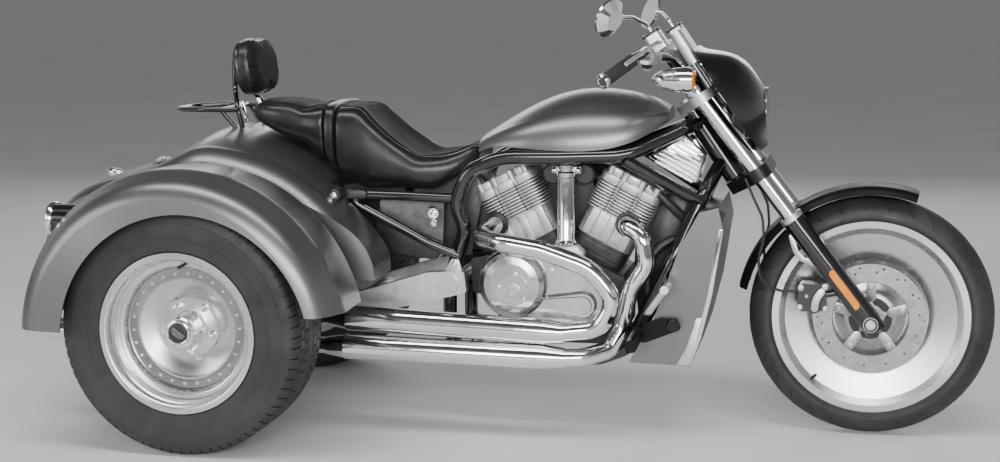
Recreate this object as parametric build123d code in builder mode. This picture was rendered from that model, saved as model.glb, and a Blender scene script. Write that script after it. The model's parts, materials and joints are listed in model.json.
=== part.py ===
from build123d import *
import os
from math import cos, radians, sin, tan

# A motorised trike: a V-twin motorcycle front end on a two-wheeled rear body.
# +X points ahead, +Y to the rider's left, +Z up, and z = 0 is the ground.
# The origin is under the middle of the overall length, on the centre plane.

# Driving dimensions, mm
wheelbase = 1713
overall_width = 1320
tail_overhang = 512  # rear axle back to the exhaust tips
engine_to_front_axle = 1033  # rear engine mount to the front axle

front_tyre_radius = 318
front_tyre_half_width = 60
front_rim_radius = 255.5
rear_tyre_radius = 322
rear_tyre_half_width = 112.5
rear_rim_radius = 207.5
rear_rim_half_width = 110
rear_wheel_y = 490  # wheel mid-plane from the centre plane

rake = 34
trail = 99
fork_lean = 37.7  # the legs lean back further than the steering axis
fork_half_span = 105
lower_clamp_z = 663.5
clamp_spacing = 245.6
fork_tube_radius = 22
slider_radius = 29
slider_top = 344  # along the leg from the front axle
stem_radius = 17
head_tube_radius = 31

frame_tube_radius = 19
rail_half_span = 178
tank_wall = 3
shroud_half_width = 188
shroud_wall = 5
body_half_width = 352
body_wall = 5
fender_radius = 441
fender_drop = 25  # fender centre below the rear axle
fender_wall = 4
front_fender_radius = 348
front_fender_half_width = 73
front_fender_wall = 3

front_axle_radius = 12.5
spindle_radius = 22
housing_radius = 36
running_clearance = 0.05
fit_clearance = 0.3
joint_gap = 5
header_radius = 24
muffler_radius = 34
tailpipe_radius = 22
tip_depth = 110
handlebar_radius = 12.7
v_half_angle = 27

# Datums: the rear axle, the rear engine mount, the front axle and the steering axis
rear_axle_x = tail_overhang - (wheelbase + front_tyre_radius + tail_overhang) / 2
front_axle_x = rear_axle_x + wheelbase
engine_x = front_axle_x - engine_to_front_axle
rake_sin, rake_cos = sin(radians(rake)), cos(radians(rake))
lean_sin, lean_cos = sin(radians(fork_lean)), cos(radians(fork_lean))
sides = (-1, 1)


def hub(x):
    """x mm ahead of the rear axle"""
    return rear_axle_x + x


def eng(x):
    """x mm ahead of the rear engine mount"""
    return engine_x + x


def steering_x(z):
    """the steering axis at height z"""
    return front_axle_x + trail - z * tan(radians(rake))


front_axle_point = Vector(front_axle_x, 0, front_tyre_radius)
steer_plane = Plane(
    origin=(steering_x(lower_clamp_z), 0, lower_clamp_z),
    x_dir=(rake_cos, 0, rake_sin),
    z_dir=(-rake_sin, 0, rake_cos),
)
fork_plane = Plane(
    origin=front_axle_point, x_dir=(lean_cos, 0, lean_sin), z_dir=(-lean_sin, 0, lean_cos)
)


def fork_length(height):
    """distance up the leg from the front axle to a height above the lower clamp"""
    start = front_axle_point - steer_plane.origin
    return (height - start.dot(steer_plane.z_dir)) / fork_plane.z_dir.dot(steer_plane.z_dir)


def fork_offset(height):
    """how far the legs stand ahead of the steering axis, at a height above the lower clamp"""
    start = front_axle_point - steer_plane.origin
    return (start + fork_plane.z_dir * fork_length(height)).dot(steer_plane.x_dir)


def steer(x, y, z):
    """a point in the frame of the steering axis: ahead of it, to the left, above the lower clamp"""
    return tuple(steer_plane.from_local_coords(Vector(x, y, z)))


def outlined(points):
    """points of (ahead of the engine mount, height) as (x, z) outline points"""
    return [(eng(x), z) for x, z in points]


def tube(points, bends, radius, bore=0):
    """a round tube along straight runs joined by arcs"""
    with BuildLine() as route:
        FilletPolyline(*points, radius=bends)
    path = route.wire()
    with BuildSketch(Plane(origin=path @ 0, z_dir=path % 0)) as section:
        Circle(radius)
        if bore:
            Circle(bore, mode=Mode.SUBTRACT)
    sweep(section.sketch, path=path)


def rod(start, end, radius, end_radius=0, mode=Mode.ADD):
    """a straight cylinder or cone between two points"""
    run = Vector(*end) - Vector(*start)
    base = Plane(origin=start, z_dir=run)
    with BuildSketch(base) as section:
        Circle(radius)
    if not end_radius:
        extrude(section.sketch, amount=run.length, mode=mode)
        return
    with BuildSketch(base.offset(run.length)) as far:
        Circle(end_radius)
    loft([section.sketch.face(), far.sketch.face()], mode=mode)


def cross_rod(x, z, y_from, y_to, radius, end_radius=0, mode=Mode.ADD):
    """a straight cylinder or cone across the machine"""
    rod((x, y_from, z), (x, y_to, z), radius, end_radius, mode)


def side_plane(y):
    """the upright plane of x and z at y, facing right"""
    return Plane(origin=(0, y, 0), x_dir=(1, 0, 0), z_dir=(0, -1, 0))


def side_plate(outline, y_from, y_to, corner=0, mode=Mode.ADD):
    """an outline of (x, z) points carried across from one y to another"""
    with BuildSketch(side_plane(y_from)) as profile:
        with BuildLine():
            Polyline(*outline, close=True)
        make_face()
        if corner:
            fillet(profile.vertices(), corner)
    extrude(profile.sketch, amount=y_from - y_to, mode=mode)


def turned(centre, outline, arc=360, mode=Mode.ADD):
    """an outline of (y, radius) points turned about a wheel axis"""
    with BuildSketch(Plane(origin=centre, x_dir=(0, 1, 0), z_dir=(1, 0, 0))) as profile:
        with BuildLine():
            Polyline(*outline, close=True)
        make_face()
    revolve(profile.sketch, axis=Axis(centre, (0, 1, 0)), revolution_arc=arc, mode=mode)


def arch(x, half_width, edge_z, top_z, base_z, shoulder=0.8, rise=0.62):
    """a closed cross-section at x: flat base, upright sides and a domed top"""
    shoulder_y = half_width * shoulder
    shoulder_z = edge_z + (top_z - edge_z) * rise
    bulge_y = shoulder_y + (half_width - shoulder_y) * 0.72
    bulge_z = edge_z + (shoulder_z - edge_z) * 0.6
    with BuildSketch(Plane(origin=(x, 0, 0), x_dir=(0, 1, 0), z_dir=(1, 0, 0))) as section:
        with BuildLine():
            Line((-half_width, base_z), (-half_width, edge_z))
            ThreePointArc((-half_width, edge_z), (-bulge_y, bulge_z), (-shoulder_y, shoulder_z))
            ThreePointArc((-shoulder_y, shoulder_z), (0, top_z), (shoulder_y, shoulder_z))
            ThreePointArc((shoulder_y, shoulder_z), (bulge_y, bulge_z), (half_width, edge_z))
            Line((half_width, edge_z), (half_width, base_z))
            Line((half_width, base_z), (-half_width, base_z))
        make_face()
    return section.sketch.face()


def finish(part, name):
    """label a piece and write it"""
    part.label = name
    export_step(part, f"parts/{name}.step")


os.makedirs("parts", exist_ok=True)

# Main frame: perimeter rails over the engine, downtubes, bottom rails and rear subframe
head_low = 20
head_high = clamp_spacing - 18
pivot_x, pivot_z = eng(-75), 395
pivot_inner_y, pivot_outer_y = 104, 148
pivot_shaft_radius = 14
seat_rail_z, seat_rail_radius = 630, frame_tube_radius - 4
with BuildPart() as main_frame:
    with BuildSketch(steer_plane.offset(head_low)):
        Circle(head_tube_radius)
    extrude(amount=head_high - head_low)
    for s in sides:
        tube(
            [
                (steering_x(822), s * 5, 822),
                (eng(548), s * 70, 815),
                (eng(400), s * (rail_half_span - 13), 748),
                (eng(226), s * rail_half_span, 742),
                (eng(66), s * rail_half_span, 739),
                (eng(-22), s * (rail_half_span - 3), 698),
                (eng(-58), s * (rail_half_span - 8), 610),
                (eng(-31), s * (rail_half_span - 14), 545),
                (eng(-60), s * (rail_half_span - 44), 470),
                (eng(-85), s * 125, 395),
                (eng(-85), s * 125, 250),
                (eng(-50), s * 135, 190),
                (eng(330), s * 150, 203),
                (eng(405), s * 150, 232),
                (eng(464), s * 150, 352),
                (eng(529), s * 145, 487),
                (eng(592), s * 100, 634),
                (steering_x(730), s * 5, 730),
            ],
            [60, 150, 400, 200, 70, 70, 60, 60, 80, 50, 40, 60, 60, 300, 150, 60],
            frame_tube_radius,
        )
        rod((eng(397), s * 166, 735), (eng(592), s * 108, 622), frame_tube_radius - 3)
        tube(
            [
                (eng(-58), s * 168, 625),
                (eng(-200), s * 172, 630),
                (eng(-378), s * 172, 632),
                (eng(-130), s * 160, 500),
                (eng(-56), s * 145, 468),
            ],
            [300, 14, 120],
            frame_tube_radius - 6,
        )
        cross_rod(pivot_x, pivot_z, s * pivot_inner_y, s * pivot_outer_y, 38)
        cross_rod(eng(510), 420, s * 152, s * (shroud_half_width - shroud_wall - fit_clearance), 8)
    for x, z, reach in ((-50, 190, 135), (330, 203, 150), (-200, seat_rail_z, 172), (300, 744, 176)):
        cross_rod(eng(x), z, -reach, reach, seat_rail_radius)
    cross_rod(pivot_x, pivot_z, -pivot_outer_y, pivot_outer_y, pivot_shaft_radius, mode=Mode.SUBTRACT)
    with BuildSketch(steer_plane.offset(head_low - 40)):
        Circle(stem_radius + running_clearance)
    extrude(amount=clamp_spacing + 80, mode=Mode.SUBTRACT)
finish(main_frame.part, "main_frame")

# Swingarm: a deep arm each side on a pivot shaft, clamped round the axle housing
arm_inner_y, arm_outer_y = 150, 180
with BuildPart() as swingarm:
    for s in sides:
        side_plate(
            [
                (pivot_x + 42, 432), (pivot_x + 48, 372), (pivot_x - 120, 330),
                (hub(300), 276), (hub(60), 268), (hub(-50), 275), (hub(-56), 368),
                (hub(60), 372), (hub(294), 345), (pivot_x - 190, 384), (pivot_x - 60, 424),
            ],
            s * arm_inner_y, s * arm_outer_y, corner=12,
        )
        cross_rod(pivot_x, pivot_z, s * arm_outer_y, s * (arm_outer_y + 12), 26)
    cross_rod(pivot_x, pivot_z, -arm_outer_y, arm_outer_y, pivot_shaft_radius - running_clearance)
    cross_rod(hub(330), 322, -arm_inner_y - 5, arm_inner_y + 5, 20)
    cross_rod(hub(0), rear_tyre_radius, -200, 200, housing_radius, mode=Mode.SUBTRACT)
finish(swingarm.part, "swingarm")

# Rear axle: housing tube, differential and a spindle each side for a wheel
rim_disc_inner, rim_disc_outer = 22, 34  # from the wheel mid-plane outwards
rim_hub_inner, rim_hub_outer = 8, 44
housing_end = 400
differential_left = 66
with BuildPart() as rear_axle:
    cross_rod(hub(0), rear_tyre_radius, -housing_end, housing_end, housing_radius)
    cross_rod(hub(0), rear_tyre_radius, -62, 62, 88)
    cross_rod(hub(0), rear_tyre_radius, -96, differential_left, 62)
    for s in sides:
        spindle_end = s * (rear_wheel_y + rim_hub_outer - 1)
        shoulder = s * (rear_wheel_y + rim_hub_inner - joint_gap)
        cross_rod(hub(0), rear_tyre_radius, s * housing_end, spindle_end, spindle_radius)
        cross_rod(hub(0), rear_tyre_radius, s * housing_end, shoulder, 50)
finish(rear_axle.part, "rear_axle")

# Rear wheels: deep-dish rims with a hub cap, and their tyres
cap_radius, cap_length = 32, 55
for s, side_name in ((-1, "right"), (1, "left")):
    centre = (rear_axle_x, s * rear_wheel_y, rear_tyre_radius)
    lip, width, tyre = rear_rim_radius, rear_rim_half_width, rear_tyre_radius
    bore = spindle_radius + running_clearance
    rim_outline = [
        (width, lip), (width - 8, lip), (width - 11, lip - 12), (width - 20, lip - 18),
        (-width + 20, lip - 18), (-width + 11, lip - 12), (-width + 8, lip), (-width, lip),
        (-width, lip - 23), (rim_disc_inner, lip - 26), (rim_disc_inner, 60), (rim_hub_inner, 54),
        (rim_hub_inner, bore), (rim_hub_outer, bore), (rim_hub_outer, 54),
        (rim_disc_outer, 60), (rim_disc_outer, 150), (rim_disc_outer + 5, 158),
        (rim_disc_outer + 26, 164), (rim_disc_outer + 30, 177), (width - 6, 183), (width, 190),
    ]
    wide = rear_tyre_half_width
    tyre_outline = [
        (0, tyre), (wide - 28, tyre - 1), (wide - 12, tyre - 9), (wide - 2, tyre - 32), (wide, 262),
        (wide - 2, 228), (width - 3, lip + 3), (width - 9, lip + 1), (width - 12, lip - 11.5),
        (width - 21, lip - 17), (width - 32, lip - 17), (wide - 16, 236), (wide - 14, 262),
        (wide - 18, tyre - 30), (wide - 32, tyre - 15), (0, tyre - 13),
    ]
    tyre_outline += [(-a, r) for a, r in reversed(tyre_outline[1:-1])]
    with BuildPart() as rear_rim:
        turned(centre, [(s * a, r) for a, r in rim_outline])
        cap_start = s * (rear_wheel_y + rim_hub_outer)
        cross_rod(rear_axle_x, rear_tyre_radius, cap_start, cap_start + s * cap_length, cap_radius)
    finish(rear_rim.part, f"rear_{side_name}_rim")
    with BuildPart() as rear_tyre:
        turned(centre, tyre_outline)
    finish(rear_tyre.part, f"rear_{side_name}_tyre")

# Rear body: a hollow tail between the fenders, with an opening for the trunk lid
body_stations = [  # ahead of the rear axle, edge height, top height, base height
    (447, 462, 470, 430), (400, 545, 548, 430), (330, 592, 625, 430), (200, 655, 735, 430),
    (60, 700, 790, 430), (-60, 705, 799, 430), (-140, 690, 752, 430), (-215, 672, 712, 400),
    (-342, 640, 680, 345), (-440, 575, 614, 335), (-482, 490, 520, 335),
]
notch_x, notch_half_width = 280, 192
lid_front, lid_rear, lid_half_width = -224, -428, 262
lid_corner = 30


def body_form(inset):
    """the tail as a solid, with every wall drawn in by the inset"""
    last = len(body_stations) - 1
    sections = []
    for index, (x, edge_z, top_z, base_z) in enumerate(body_stations):
        pull = {0: -inset, last: inset}.get(index, 0)
        sections.append(
            arch(hub(x + pull), body_half_width - inset, edge_z - inset, top_z - inset, base_z + inset)
        )
    loft(sections)
    with BuildSketch(Plane.XY.offset(base_z)) as notch:
        with Locations((hub(notch_x) - inset + 150, 0)):
            Rectangle(300, 2 * (notch_half_width + inset))
    extrude(notch.sketch, amount=500, mode=Mode.SUBTRACT)


def lid_prism(gap, mode):
    """the trunk lid's outline seen from above, grown by a gap"""
    with BuildSketch(Plane.XY.offset(550)) as outline:
        with Locations((hub((lid_front + lid_rear) / 2), 0)):
            RectangleRounded(lid_front - lid_rear + 2 * gap, 2 * (lid_half_width + gap), lid_corner)
    extrude(outline.sketch, amount=250, mode=mode)


hinge_x, hinge_z, hinge_radius, hinge_pin_radius = hub(lid_front + 3), 709, 8, 4
hinge_places, knuckle_half, ear_length = (-150, 150), 15, 30


def hinge_barrel(y, half_length, radius, mode):
    """a length of barrel on the trunk lid's hinge line"""
    cross_rod(hinge_x, hinge_z, y - half_length, y + half_length, radius, mode=mode)


with BuildPart() as body_cavity:
    body_form(body_wall)
with BuildPart() as body_seat:
    body_form(-fit_clearance)
with BuildPart() as rear_body:
    body_form(0)
    add(body_cavity.part, mode=Mode.SUBTRACT)
    lid_prism(joint_gap, Mode.SUBTRACT)
    for y in hinge_places:
        for ear in sides:
            ear_centre = y + ear * (knuckle_half + ear_length / 2)
            hinge_barrel(ear_centre, ear_length / 2 + 3, hinge_radius + 3, Mode.SUBTRACT)
        hinge_barrel(y, knuckle_half, hinge_radius, Mode.ADD)
        hinge_barrel(y, knuckle_half, hinge_pin_radius + running_clearance, Mode.SUBTRACT)
finish(rear_body.part, "rear_body")

with BuildPart() as trunk_lid:
    body_form(0)
    lid_prism(0, Mode.INTERSECT)
    add(body_cavity.part, mode=Mode.SUBTRACT)
    for y in hinge_places:
        hinge_barrel(y, knuckle_half + 3, hinge_radius + 3, Mode.SUBTRACT)
        for ear in sides:
            ear_centre = y + ear * (knuckle_half + fit_clearance + ear_length / 2)
            hinge_barrel(ear_centre, ear_length / 2, hinge_radius, Mode.ADD)
        hinge_barrel(y, knuckle_half + ear_length, hinge_pin_radius, Mode.ADD)
finish(trunk_lid.part, "trunk_lid")

# Rear fenders: a shell turned about its own centre, with a round wheel opening
fender_centre_z = rear_tyre_radius - fender_drop
fender_outer_y = overall_width / 2
lip_x, lip_z, lip_radius = 40, 306, 328
fender_front_z, fender_rear_z = 385, 326
with BuildPart() as rear_fenders:
    for s in sides:
        centre = (rear_axle_x, 0, fender_centre_z)
        with BuildSketch(Plane(origin=centre, x_dir=(0, 1, 0), z_dir=(1, 0, 0))) as shell:
            with BuildLine():
                crown = FilletPolyline(
                    (s * (body_half_width + fit_clearance), fender_radius - 44),
                    (s * 400, fender_radius - 3),
                    (s * 560, fender_radius + 1),
                    (s * (fender_outer_y - 16), fender_radius - 36),
                    (s * fender_outer_y, 290),
                    radius=[40, 60, 60],
                )
                offset(crown, amount=fender_wall, side=Side.RIGHT if s > 0 else Side.LEFT, closed=True)
            make_face()
        revolve(shell.sketch, axis=Axis(centre, (0, 1, 0)))
        cross_rod(hub(lip_x), lip_z, s * 610, s * 700, lip_radius, mode=Mode.SUBTRACT)
    with BuildSketch(Plane.XY) as below:
        with Locations((hub(-300), 0), (hub(300), 0)):
            Rectangle(600, 2 * overall_width)
    extrude(below.sketch, amount=fender_rear_z, mode=Mode.SUBTRACT)
    extrude(below.sketch, amount=-200, mode=Mode.SUBTRACT)
    with BuildSketch(Plane.XY) as front_cut:
        with Locations((hub(350), 0)):
            Rectangle(500, 2 * overall_width)
    extrude(front_cut.sketch, amount=fender_front_z, mode=Mode.SUBTRACT)
finish(rear_fenders.part, "rear_fenders")

# Tail lamps: a round lamp let into the back of each fender
lamp_radius, lamp_y, lamp_z = 40, 450, 585
with BuildPart() as tail_lamps:
    for s in sides:
        rod((hub(-300), s * lamp_y, lamp_z), (hub(-402), s * lamp_y, lamp_z), lamp_radius)
        turned(
            (rear_axle_x, 0, fender_centre_z),
            [
                (s * 400, 0), (s * 400, fender_radius - 3 + fit_clearance),
                (s * 560, fender_radius + 1 + fit_clearance), (s * 560, 0),
            ],
            mode=Mode.SUBTRACT,
        )
finish(tail_lamps.part, "tail_lamps")

# Seat: one saddle with a rider's dip and a raised passenger pad
seat_base = seat_rail_z + seat_rail_radius + fit_clearance
seat_profile = [
    (-4 - fit_clearance, 778), (-8, 716), (-55, 678), (-124, seat_base), (-319, seat_base),
    (-389, 672), (-418, 706),
    (-503, 760), (-589, 788), (-661, 826), (-656, 870), (-630, 880), (-516, 878), (-497, 862),
    (-478, 872), (-399, 878), (-341, 868), (-255, 791), (-170, 731), (-84, 744), (-30, 778),
]
seat_plan = [
    (0, 95), (-60, 138), (-130, 165), (-300, 165), (-400, 150), (-480, 138), (-600, 130), (-670, 110),
]
with BuildPart() as seat:
    side_plate(outlined(seat_profile), -170, 170)
    with BuildSketch(Plane.XY.offset(600)) as plan:
        with BuildLine():
            Polyline(
                *[(eng(x), -y) for x, y in seat_plan], *[(eng(x), y) for x, y in reversed(seat_plan)],
                close=True,
            )
        make_face()
    extrude(plan.sketch, amount=400, mode=Mode.INTERSECT)
finish(seat.part, "seat")

# Backrest pad and the rack that carries it
pad_width, pad_height, pad_depth = 228, 160, 62
pad_plane = Plane(origin=(hub(8), 0, 966), x_dir=(0, 1, 0), z_dir=(cos(radians(8)), 0, sin(radians(8))))
with BuildPart() as backrest_pad:
    with BuildSketch(pad_plane.offset(-pad_depth / 2)):
        RectangleRounded(pad_width, pad_height, 70)
    extrude(amount=pad_depth)
    fillet(backrest_pad.faces().sort_by(Axis.X)[-1].edges(), 20)
finish(backrest_pad.part, "backrest_pad")

rack_tube, rack_half_width, rack_z = 7, 108, 850
with BuildPart() as luggage_rack:
    tube(
        [
            (hub(-8), -rack_half_width, rack_z), (hub(-120), -rack_half_width, rack_z),
            (hub(-212), -62, rack_z - 4), (hub(-212), 62, rack_z - 4),
            (hub(-120), rack_half_width, rack_z), (hub(-8), rack_half_width, rack_z),
        ],
        [60, 50, 50, 60],
        rack_tube,
    )
    for s in sides:
        tube(
            [
                (hub(-4), s * 90, 800), (hub(-10), s * (rack_half_width - 2), 850),
                (hub(-34), s * 60, 900), (hub(-34), s * 60, 985),
            ],
            [40, 30],
            rack_tube,
        )
        rod((hub(-60), s * rack_half_width, rack_z), (hub(-20), s * 92, 796), rack_tube - 1)
    cross_rod(hub(-33), 980, -64, 64, rack_tube)
    cross_rod(hub(-60), rack_z, -rack_half_width, rack_half_width, rack_tube - 1)
    add(body_seat.part, mode=Mode.SUBTRACT)
finish(luggage_rack.part, "luggage_rack")

# Tank cover: a hollow shell over the airbox, open below
tank_stations = [  # ahead of the engine mount, half width, edge height, top height
    (-4, 118, 750, 788), (60, 152, 767, 828), (160, 182, 765.4, 881), (280, 190, 763.2, 911),
    (400, 170, 782, 903), (466, 128, 813, 884), (500, 84, 834, 866),
]


def tank_form(inset):
    """the cover as a solid down to its side edges"""
    last = len(tank_stations) - 1
    sections = []
    for index, (x, half_width, edge_z, top_z) in enumerate(tank_stations):
        pull = {0: inset, last: -inset}.get(index, 0)
        base_z = edge_z - 4 - 10 * inset
        sections.append(
            arch(eng(x + pull), half_width - inset, edge_z - inset, top_z - inset, base_z, 0.74, 0.66)
        )
    loft(sections)


with BuildPart() as tank_cavity:
    tank_form(tank_wall)
with BuildPart() as tank_cover:
    tank_form(0)
    add(tank_cavity.part, mode=Mode.SUBTRACT)
finish(tank_cover.part, "tank_cover")

# Engine: crankcase, two finned cylinders, round and oval covers on both sides
crank_x, crank_z = eng(236), 325
case_half_width = 124
cylinder_base, cylinder_fins, head_cover_base, cylinder_top = 150, 276, 356, 404
cylinder_length, cylinder_half_width = 142, 118
fin_count, fin_thickness, fin_reach = 9, 4, 9
flute_radius, flute_spacing = 9, 27
notch_width, notch_height, notch_depth = 11, 18, 9
head_taper = 10


def cylinder_plane(lean):
    """up a cylinder from the crank, leaning ahead or back"""
    turn = radians(lean)
    return Plane(
        origin=(crank_x, 0, crank_z), x_dir=(cos(turn), 0, -sin(turn)), z_dir=(sin(turn), 0, cos(turn))
    )


def cylinder_block(lean):
    """a water jacket, a finned head and a tapered cover, with flutes up both sides"""
    base = cylinder_plane(lean)
    with BuildSketch(base.offset(cylinder_base)) as jacket:
        RectangleRounded(cylinder_length - 14, 2 * cylinder_half_width - 40, 30)
    extrude(jacket.sketch, amount=cylinder_fins - cylinder_base)
    with BuildSketch(base.offset(cylinder_fins)) as core:
        RectangleRounded(cylinder_length - 2 * fin_reach, 2 * (cylinder_half_width - fin_reach), 22)
    extrude(core.sketch, amount=head_cover_base - cylinder_fins)
    pitch = (head_cover_base - cylinder_fins) / fin_count
    for index in range(fin_count):
        with BuildSketch(base.offset(cylinder_fins + index * pitch)) as fin:
            RectangleRounded(cylinder_length, 2 * cylinder_half_width, 30)
        extrude(fin.sketch, amount=fin_thickness)
    with BuildSketch(base.offset(head_cover_base)) as cover:
        RectangleRounded(cylinder_length - 2, 2 * cylinder_half_width - 2, 30)
    extrude(cover.sketch, amount=cylinder_top - head_cover_base, taper=head_taper)
    flute_places = [(x, s * cylinder_half_width) for s in sides for x in (-flute_spacing, flute_spacing)]
    with BuildSketch(base.offset(cylinder_fins - 1)) as flutes:
        with Locations(*flute_places):
            Circle(flute_radius)
    extrude(flutes.sketch, amount=cylinder_top - cylinder_fins + 2, mode=Mode.SUBTRACT)
    with BuildSketch(base.offset(cylinder_top + 1)) as notches:
        for s in sides:
            with Locations(*[(x, s * (cylinder_half_width - notch_depth)) for x in (-50, 0, 50)]):
                Rectangle(notch_width, 2 * notch_depth)
    extrude(notches.sketch, amount=-notch_height, mode=Mode.SUBTRACT)


case_outline = [
    (48, 300), (44, 440), (92, 498), (196, 512), (300, 512), (356, 476), (392, 420), (388, 300),
    (340, 236), (100, 234),
]
gearbox_outline = [(90, 340), (-36, 350), (-42, 446), (90, 474)]
gearbox_half_width = 62
with BuildPart() as engine_crankcase:
    side_plate(outlined(case_outline), -case_half_width, case_half_width, corner=24)
    side_plate(outlined(gearbox_outline), -gearbox_half_width, gearbox_half_width, corner=12)
    for lean in (-v_half_angle, v_half_angle):
        with BuildSketch(cylinder_plane(lean).offset(cylinder_base)) as seat_cut:
            Rectangle(cylinder_length + 40, 2 * case_half_width + 2)
        extrude(seat_cut.sketch, amount=200, mode=Mode.SUBTRACT)
finish(engine_crankcase.part, "engine_crankcase")

for lean, piece in ((-v_half_angle, "rear_cylinder"), (v_half_angle, "front_cylinder")):
    with BuildPart() as cylinder:
        cylinder_block(lean)
    finish(cylinder.part, piece)

# Side covers of the engine: a draughted case, a clutch dome with its round lid, and a teardrop boss
clutch_x, clutch_z, clutch_radius = eng(106), 407, 92
cover_mid_y = 198
lid_x, lid_z, lid_radius, lid_height = clutch_x + 3, clutch_z - 22, 28, 42
ring_radius, ring_height = 46, 37
boss_front, boss_front_radius = (eng(295), 357), 36
boss_rear, boss_rear_radius = (eng(196), 366), 12
clutch_dome = [(0, 0), (0, 92), (9, 92), (20, 86), (28, 74), (33, 56), (34, 30), (34, 0)]


def boss(y, shrink, height, taper):
    """a teardrop raised outwards from y"""
    with BuildSketch(side_plane(y)) as drop:
        with Locations(boss_front):
            Circle(boss_front_radius - shrink)
        with Locations(boss_rear):
            Circle(boss_rear_radius - shrink / 2)
        make_hull()
    extrude(drop.sketch, amount=height if y < 0 else -height, taper=taper)


with BuildPart() as engine_covers:
    for s, dome_share in ((-1, 1), (1, 0.5)):
        with BuildSketch(side_plane(s * case_half_width)) as flange:
            with Locations((clutch_x, clutch_z)):
                Circle(clutch_radius + 6)
            with Locations((eng(276), 373)):
                Circle(76)
            make_hull()
        extrude(flange.sketch, amount=-s * (cover_mid_y - case_half_width), taper=4)
        dome = [(s * (cover_mid_y - 1 + dome_share * depth), radius) for depth, radius in clutch_dome]
        turned((clutch_x, 0, clutch_z), dome)
        boss(s * (cover_mid_y - 1), 0, 21 * dome_share, 14)
    boss(-cover_mid_y - 19, 11, 6, 20)
    ring_y = -cover_mid_y - ring_height
    cross_rod(clutch_x + 4, clutch_z - 12, -cover_mid_y, ring_y, ring_radius, ring_radius - 3)
    cross_rod(lid_x, lid_z, -cover_mid_y, -cover_mid_y - lid_height, lid_radius, lid_radius - 2)
finish(engine_covers.part, "engine_covers")

pipe_x, pipe_radius = 238, 17
pipe_y = -(case_half_width + fit_clearance + pipe_radius)
with BuildPart() as water_pipe:
    rod((eng(pipe_x), pipe_y, 490), (eng(pipe_x), pipe_y, 712), pipe_radius)
    rod((eng(pipe_x), pipe_y, 700), (eng(pipe_x), pipe_y, 718), pipe_radius + 4)
    side_plate(
        outlined([(200, 479), (206, 498), (270, 498), (276, 462)]),
        -case_half_width - fit_clearance, pipe_y - pipe_radius, corner=6,
    )
finish(water_pipe.part, "water_pipe")

# Intake covers: a ribbed triangular duct cover between the rail and the diagonal, each side
intake_outline = [(446, 738), (548, 794.4), (596, 745), (577, 668), (560, 668)]
intake_face_y, rib_count, rib_width, rib_height, rib_angle = 84, 8, 8, 5, -28
with BuildPart() as intake_covers:
    with BuildSketch(Plane.XY, mode=Mode.PRIVATE) as rib_field:
        with BuildLine():
            Polyline(*outlined(intake_outline), close=True)
        make_face()
        offset(amount=-6)
    for s in sides:
        side_plate(outlined(intake_outline), s * 44, s * intake_face_y, corner=8)
        with BuildSketch(side_plane(s * intake_face_y)) as ribs:
            for index in range(rib_count):
                with Locations((eng(506 + 6 * index), 700 + 12 * index)):
                    Rectangle(300, rib_width, rotation=rib_angle)
            add(rib_field.sketch, mode=Mode.INTERSECT)
        extrude(ribs.sketch, amount=-s * rib_height)
finish(intake_covers.part, "intake_covers")

# Radiator in its painted shroud, with a bright strip down each front edge
shroud_outline = [
    (642, 619), (656, 559), (631, 391), (602, 272), (577, 200), (413, 203), (473, 306), (545, 517),
    (594, 606),
]
radiator_outline = [(500, 262), (538, 252), (634, 556), (597, 566)]
with BuildPart() as radiator_shroud:
    side_plate(outlined(shroud_outline), -shroud_half_width, shroud_half_width)
    inner = [
        (700, 612), (700, 206), (560, 206), (413, 209), (380, 209), (380, 640), (580, 640), (594, 602),
        (640, 612),
    ]
    side_plate(
        outlined(inner), -shroud_half_width + shroud_wall, shroud_half_width - shroud_wall,
        mode=Mode.SUBTRACT,
    )
    for s in sides:
        downtube_clearance = frame_tube_radius + joint_gap
        rod((eng(529), s * 145, 487), (eng(597), s * 96, 646), downtube_clearance, mode=Mode.SUBTRACT)
finish(radiator_shroud.part, "radiator_shroud")

with BuildPart() as radiator:
    reach = shroud_half_width - shroud_wall - fit_clearance
    side_plate(outlined(radiator_outline), -reach, reach)
finish(radiator.part, "radiator")

# Exhausts: a header from each cylinder into its own muffler on the right, with a tailpipe
port_y = cylinder_half_width + fit_clearance
inlet_x, outlet_x = eng(256), hub(296)
inlet_cone, outlet_cone = 56, 52


def muffler(inlet, outlet):
    """a round can with a cone at each end, turned about the line from inlet to outlet"""
    run = Vector(*outlet) - Vector(*inlet)
    across = run.cross(Vector(0, 0, 1))
    with BuildSketch(Plane(origin=inlet, x_dir=run, z_dir=across)) as profile:
        with BuildLine():
            Polyline(
                (0, 0), (0, header_radius + 3), (inlet_cone, muffler_radius),
                (run.length - outlet_cone, muffler_radius), (run.length - outlet_cone, muffler_radius - 2),
                (run.length, tailpipe_radius + 2), (run.length, 0), close=True,
            )
        make_face()
    revolve(profile.sketch, axis=Axis(inlet, run))


with BuildPart() as upper_exhaust:
    tube(
        [
            (eng(52), -port_y - 0.7, 560), (eng(20), -215, 530), (eng(86), -268, 526),
            (eng(192), -270, 510), (eng(323), -270, 466), (eng(388), -270, 385),
            (eng(345), -270, 306), (eng(240), -271, 292.5),
        ],
        [30, 60, 150, 120, 60, 60],
        header_radius,
    )
    muffler((inlet_x, -271, 293), (outlet_x, -261, 311))
    tube(
        [
            (hub(335), -261.7, 309.7), (hub(275), -260.5, 311.7), (hub(190), -243, 254),
            (hub(60), -238, 250), (hub(-tail_overhang), -238, 250),
        ],
        [60, 100, 300],
        tailpipe_radius,
    )
    tip = (hub(-tail_overhang), -238, 250)
    rod(tip, (hub(tip_depth - tail_overhang), -238, 250), tailpipe_radius - 2, mode=Mode.SUBTRACT)
finish(upper_exhaust.part, "upper_exhaust")

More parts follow.
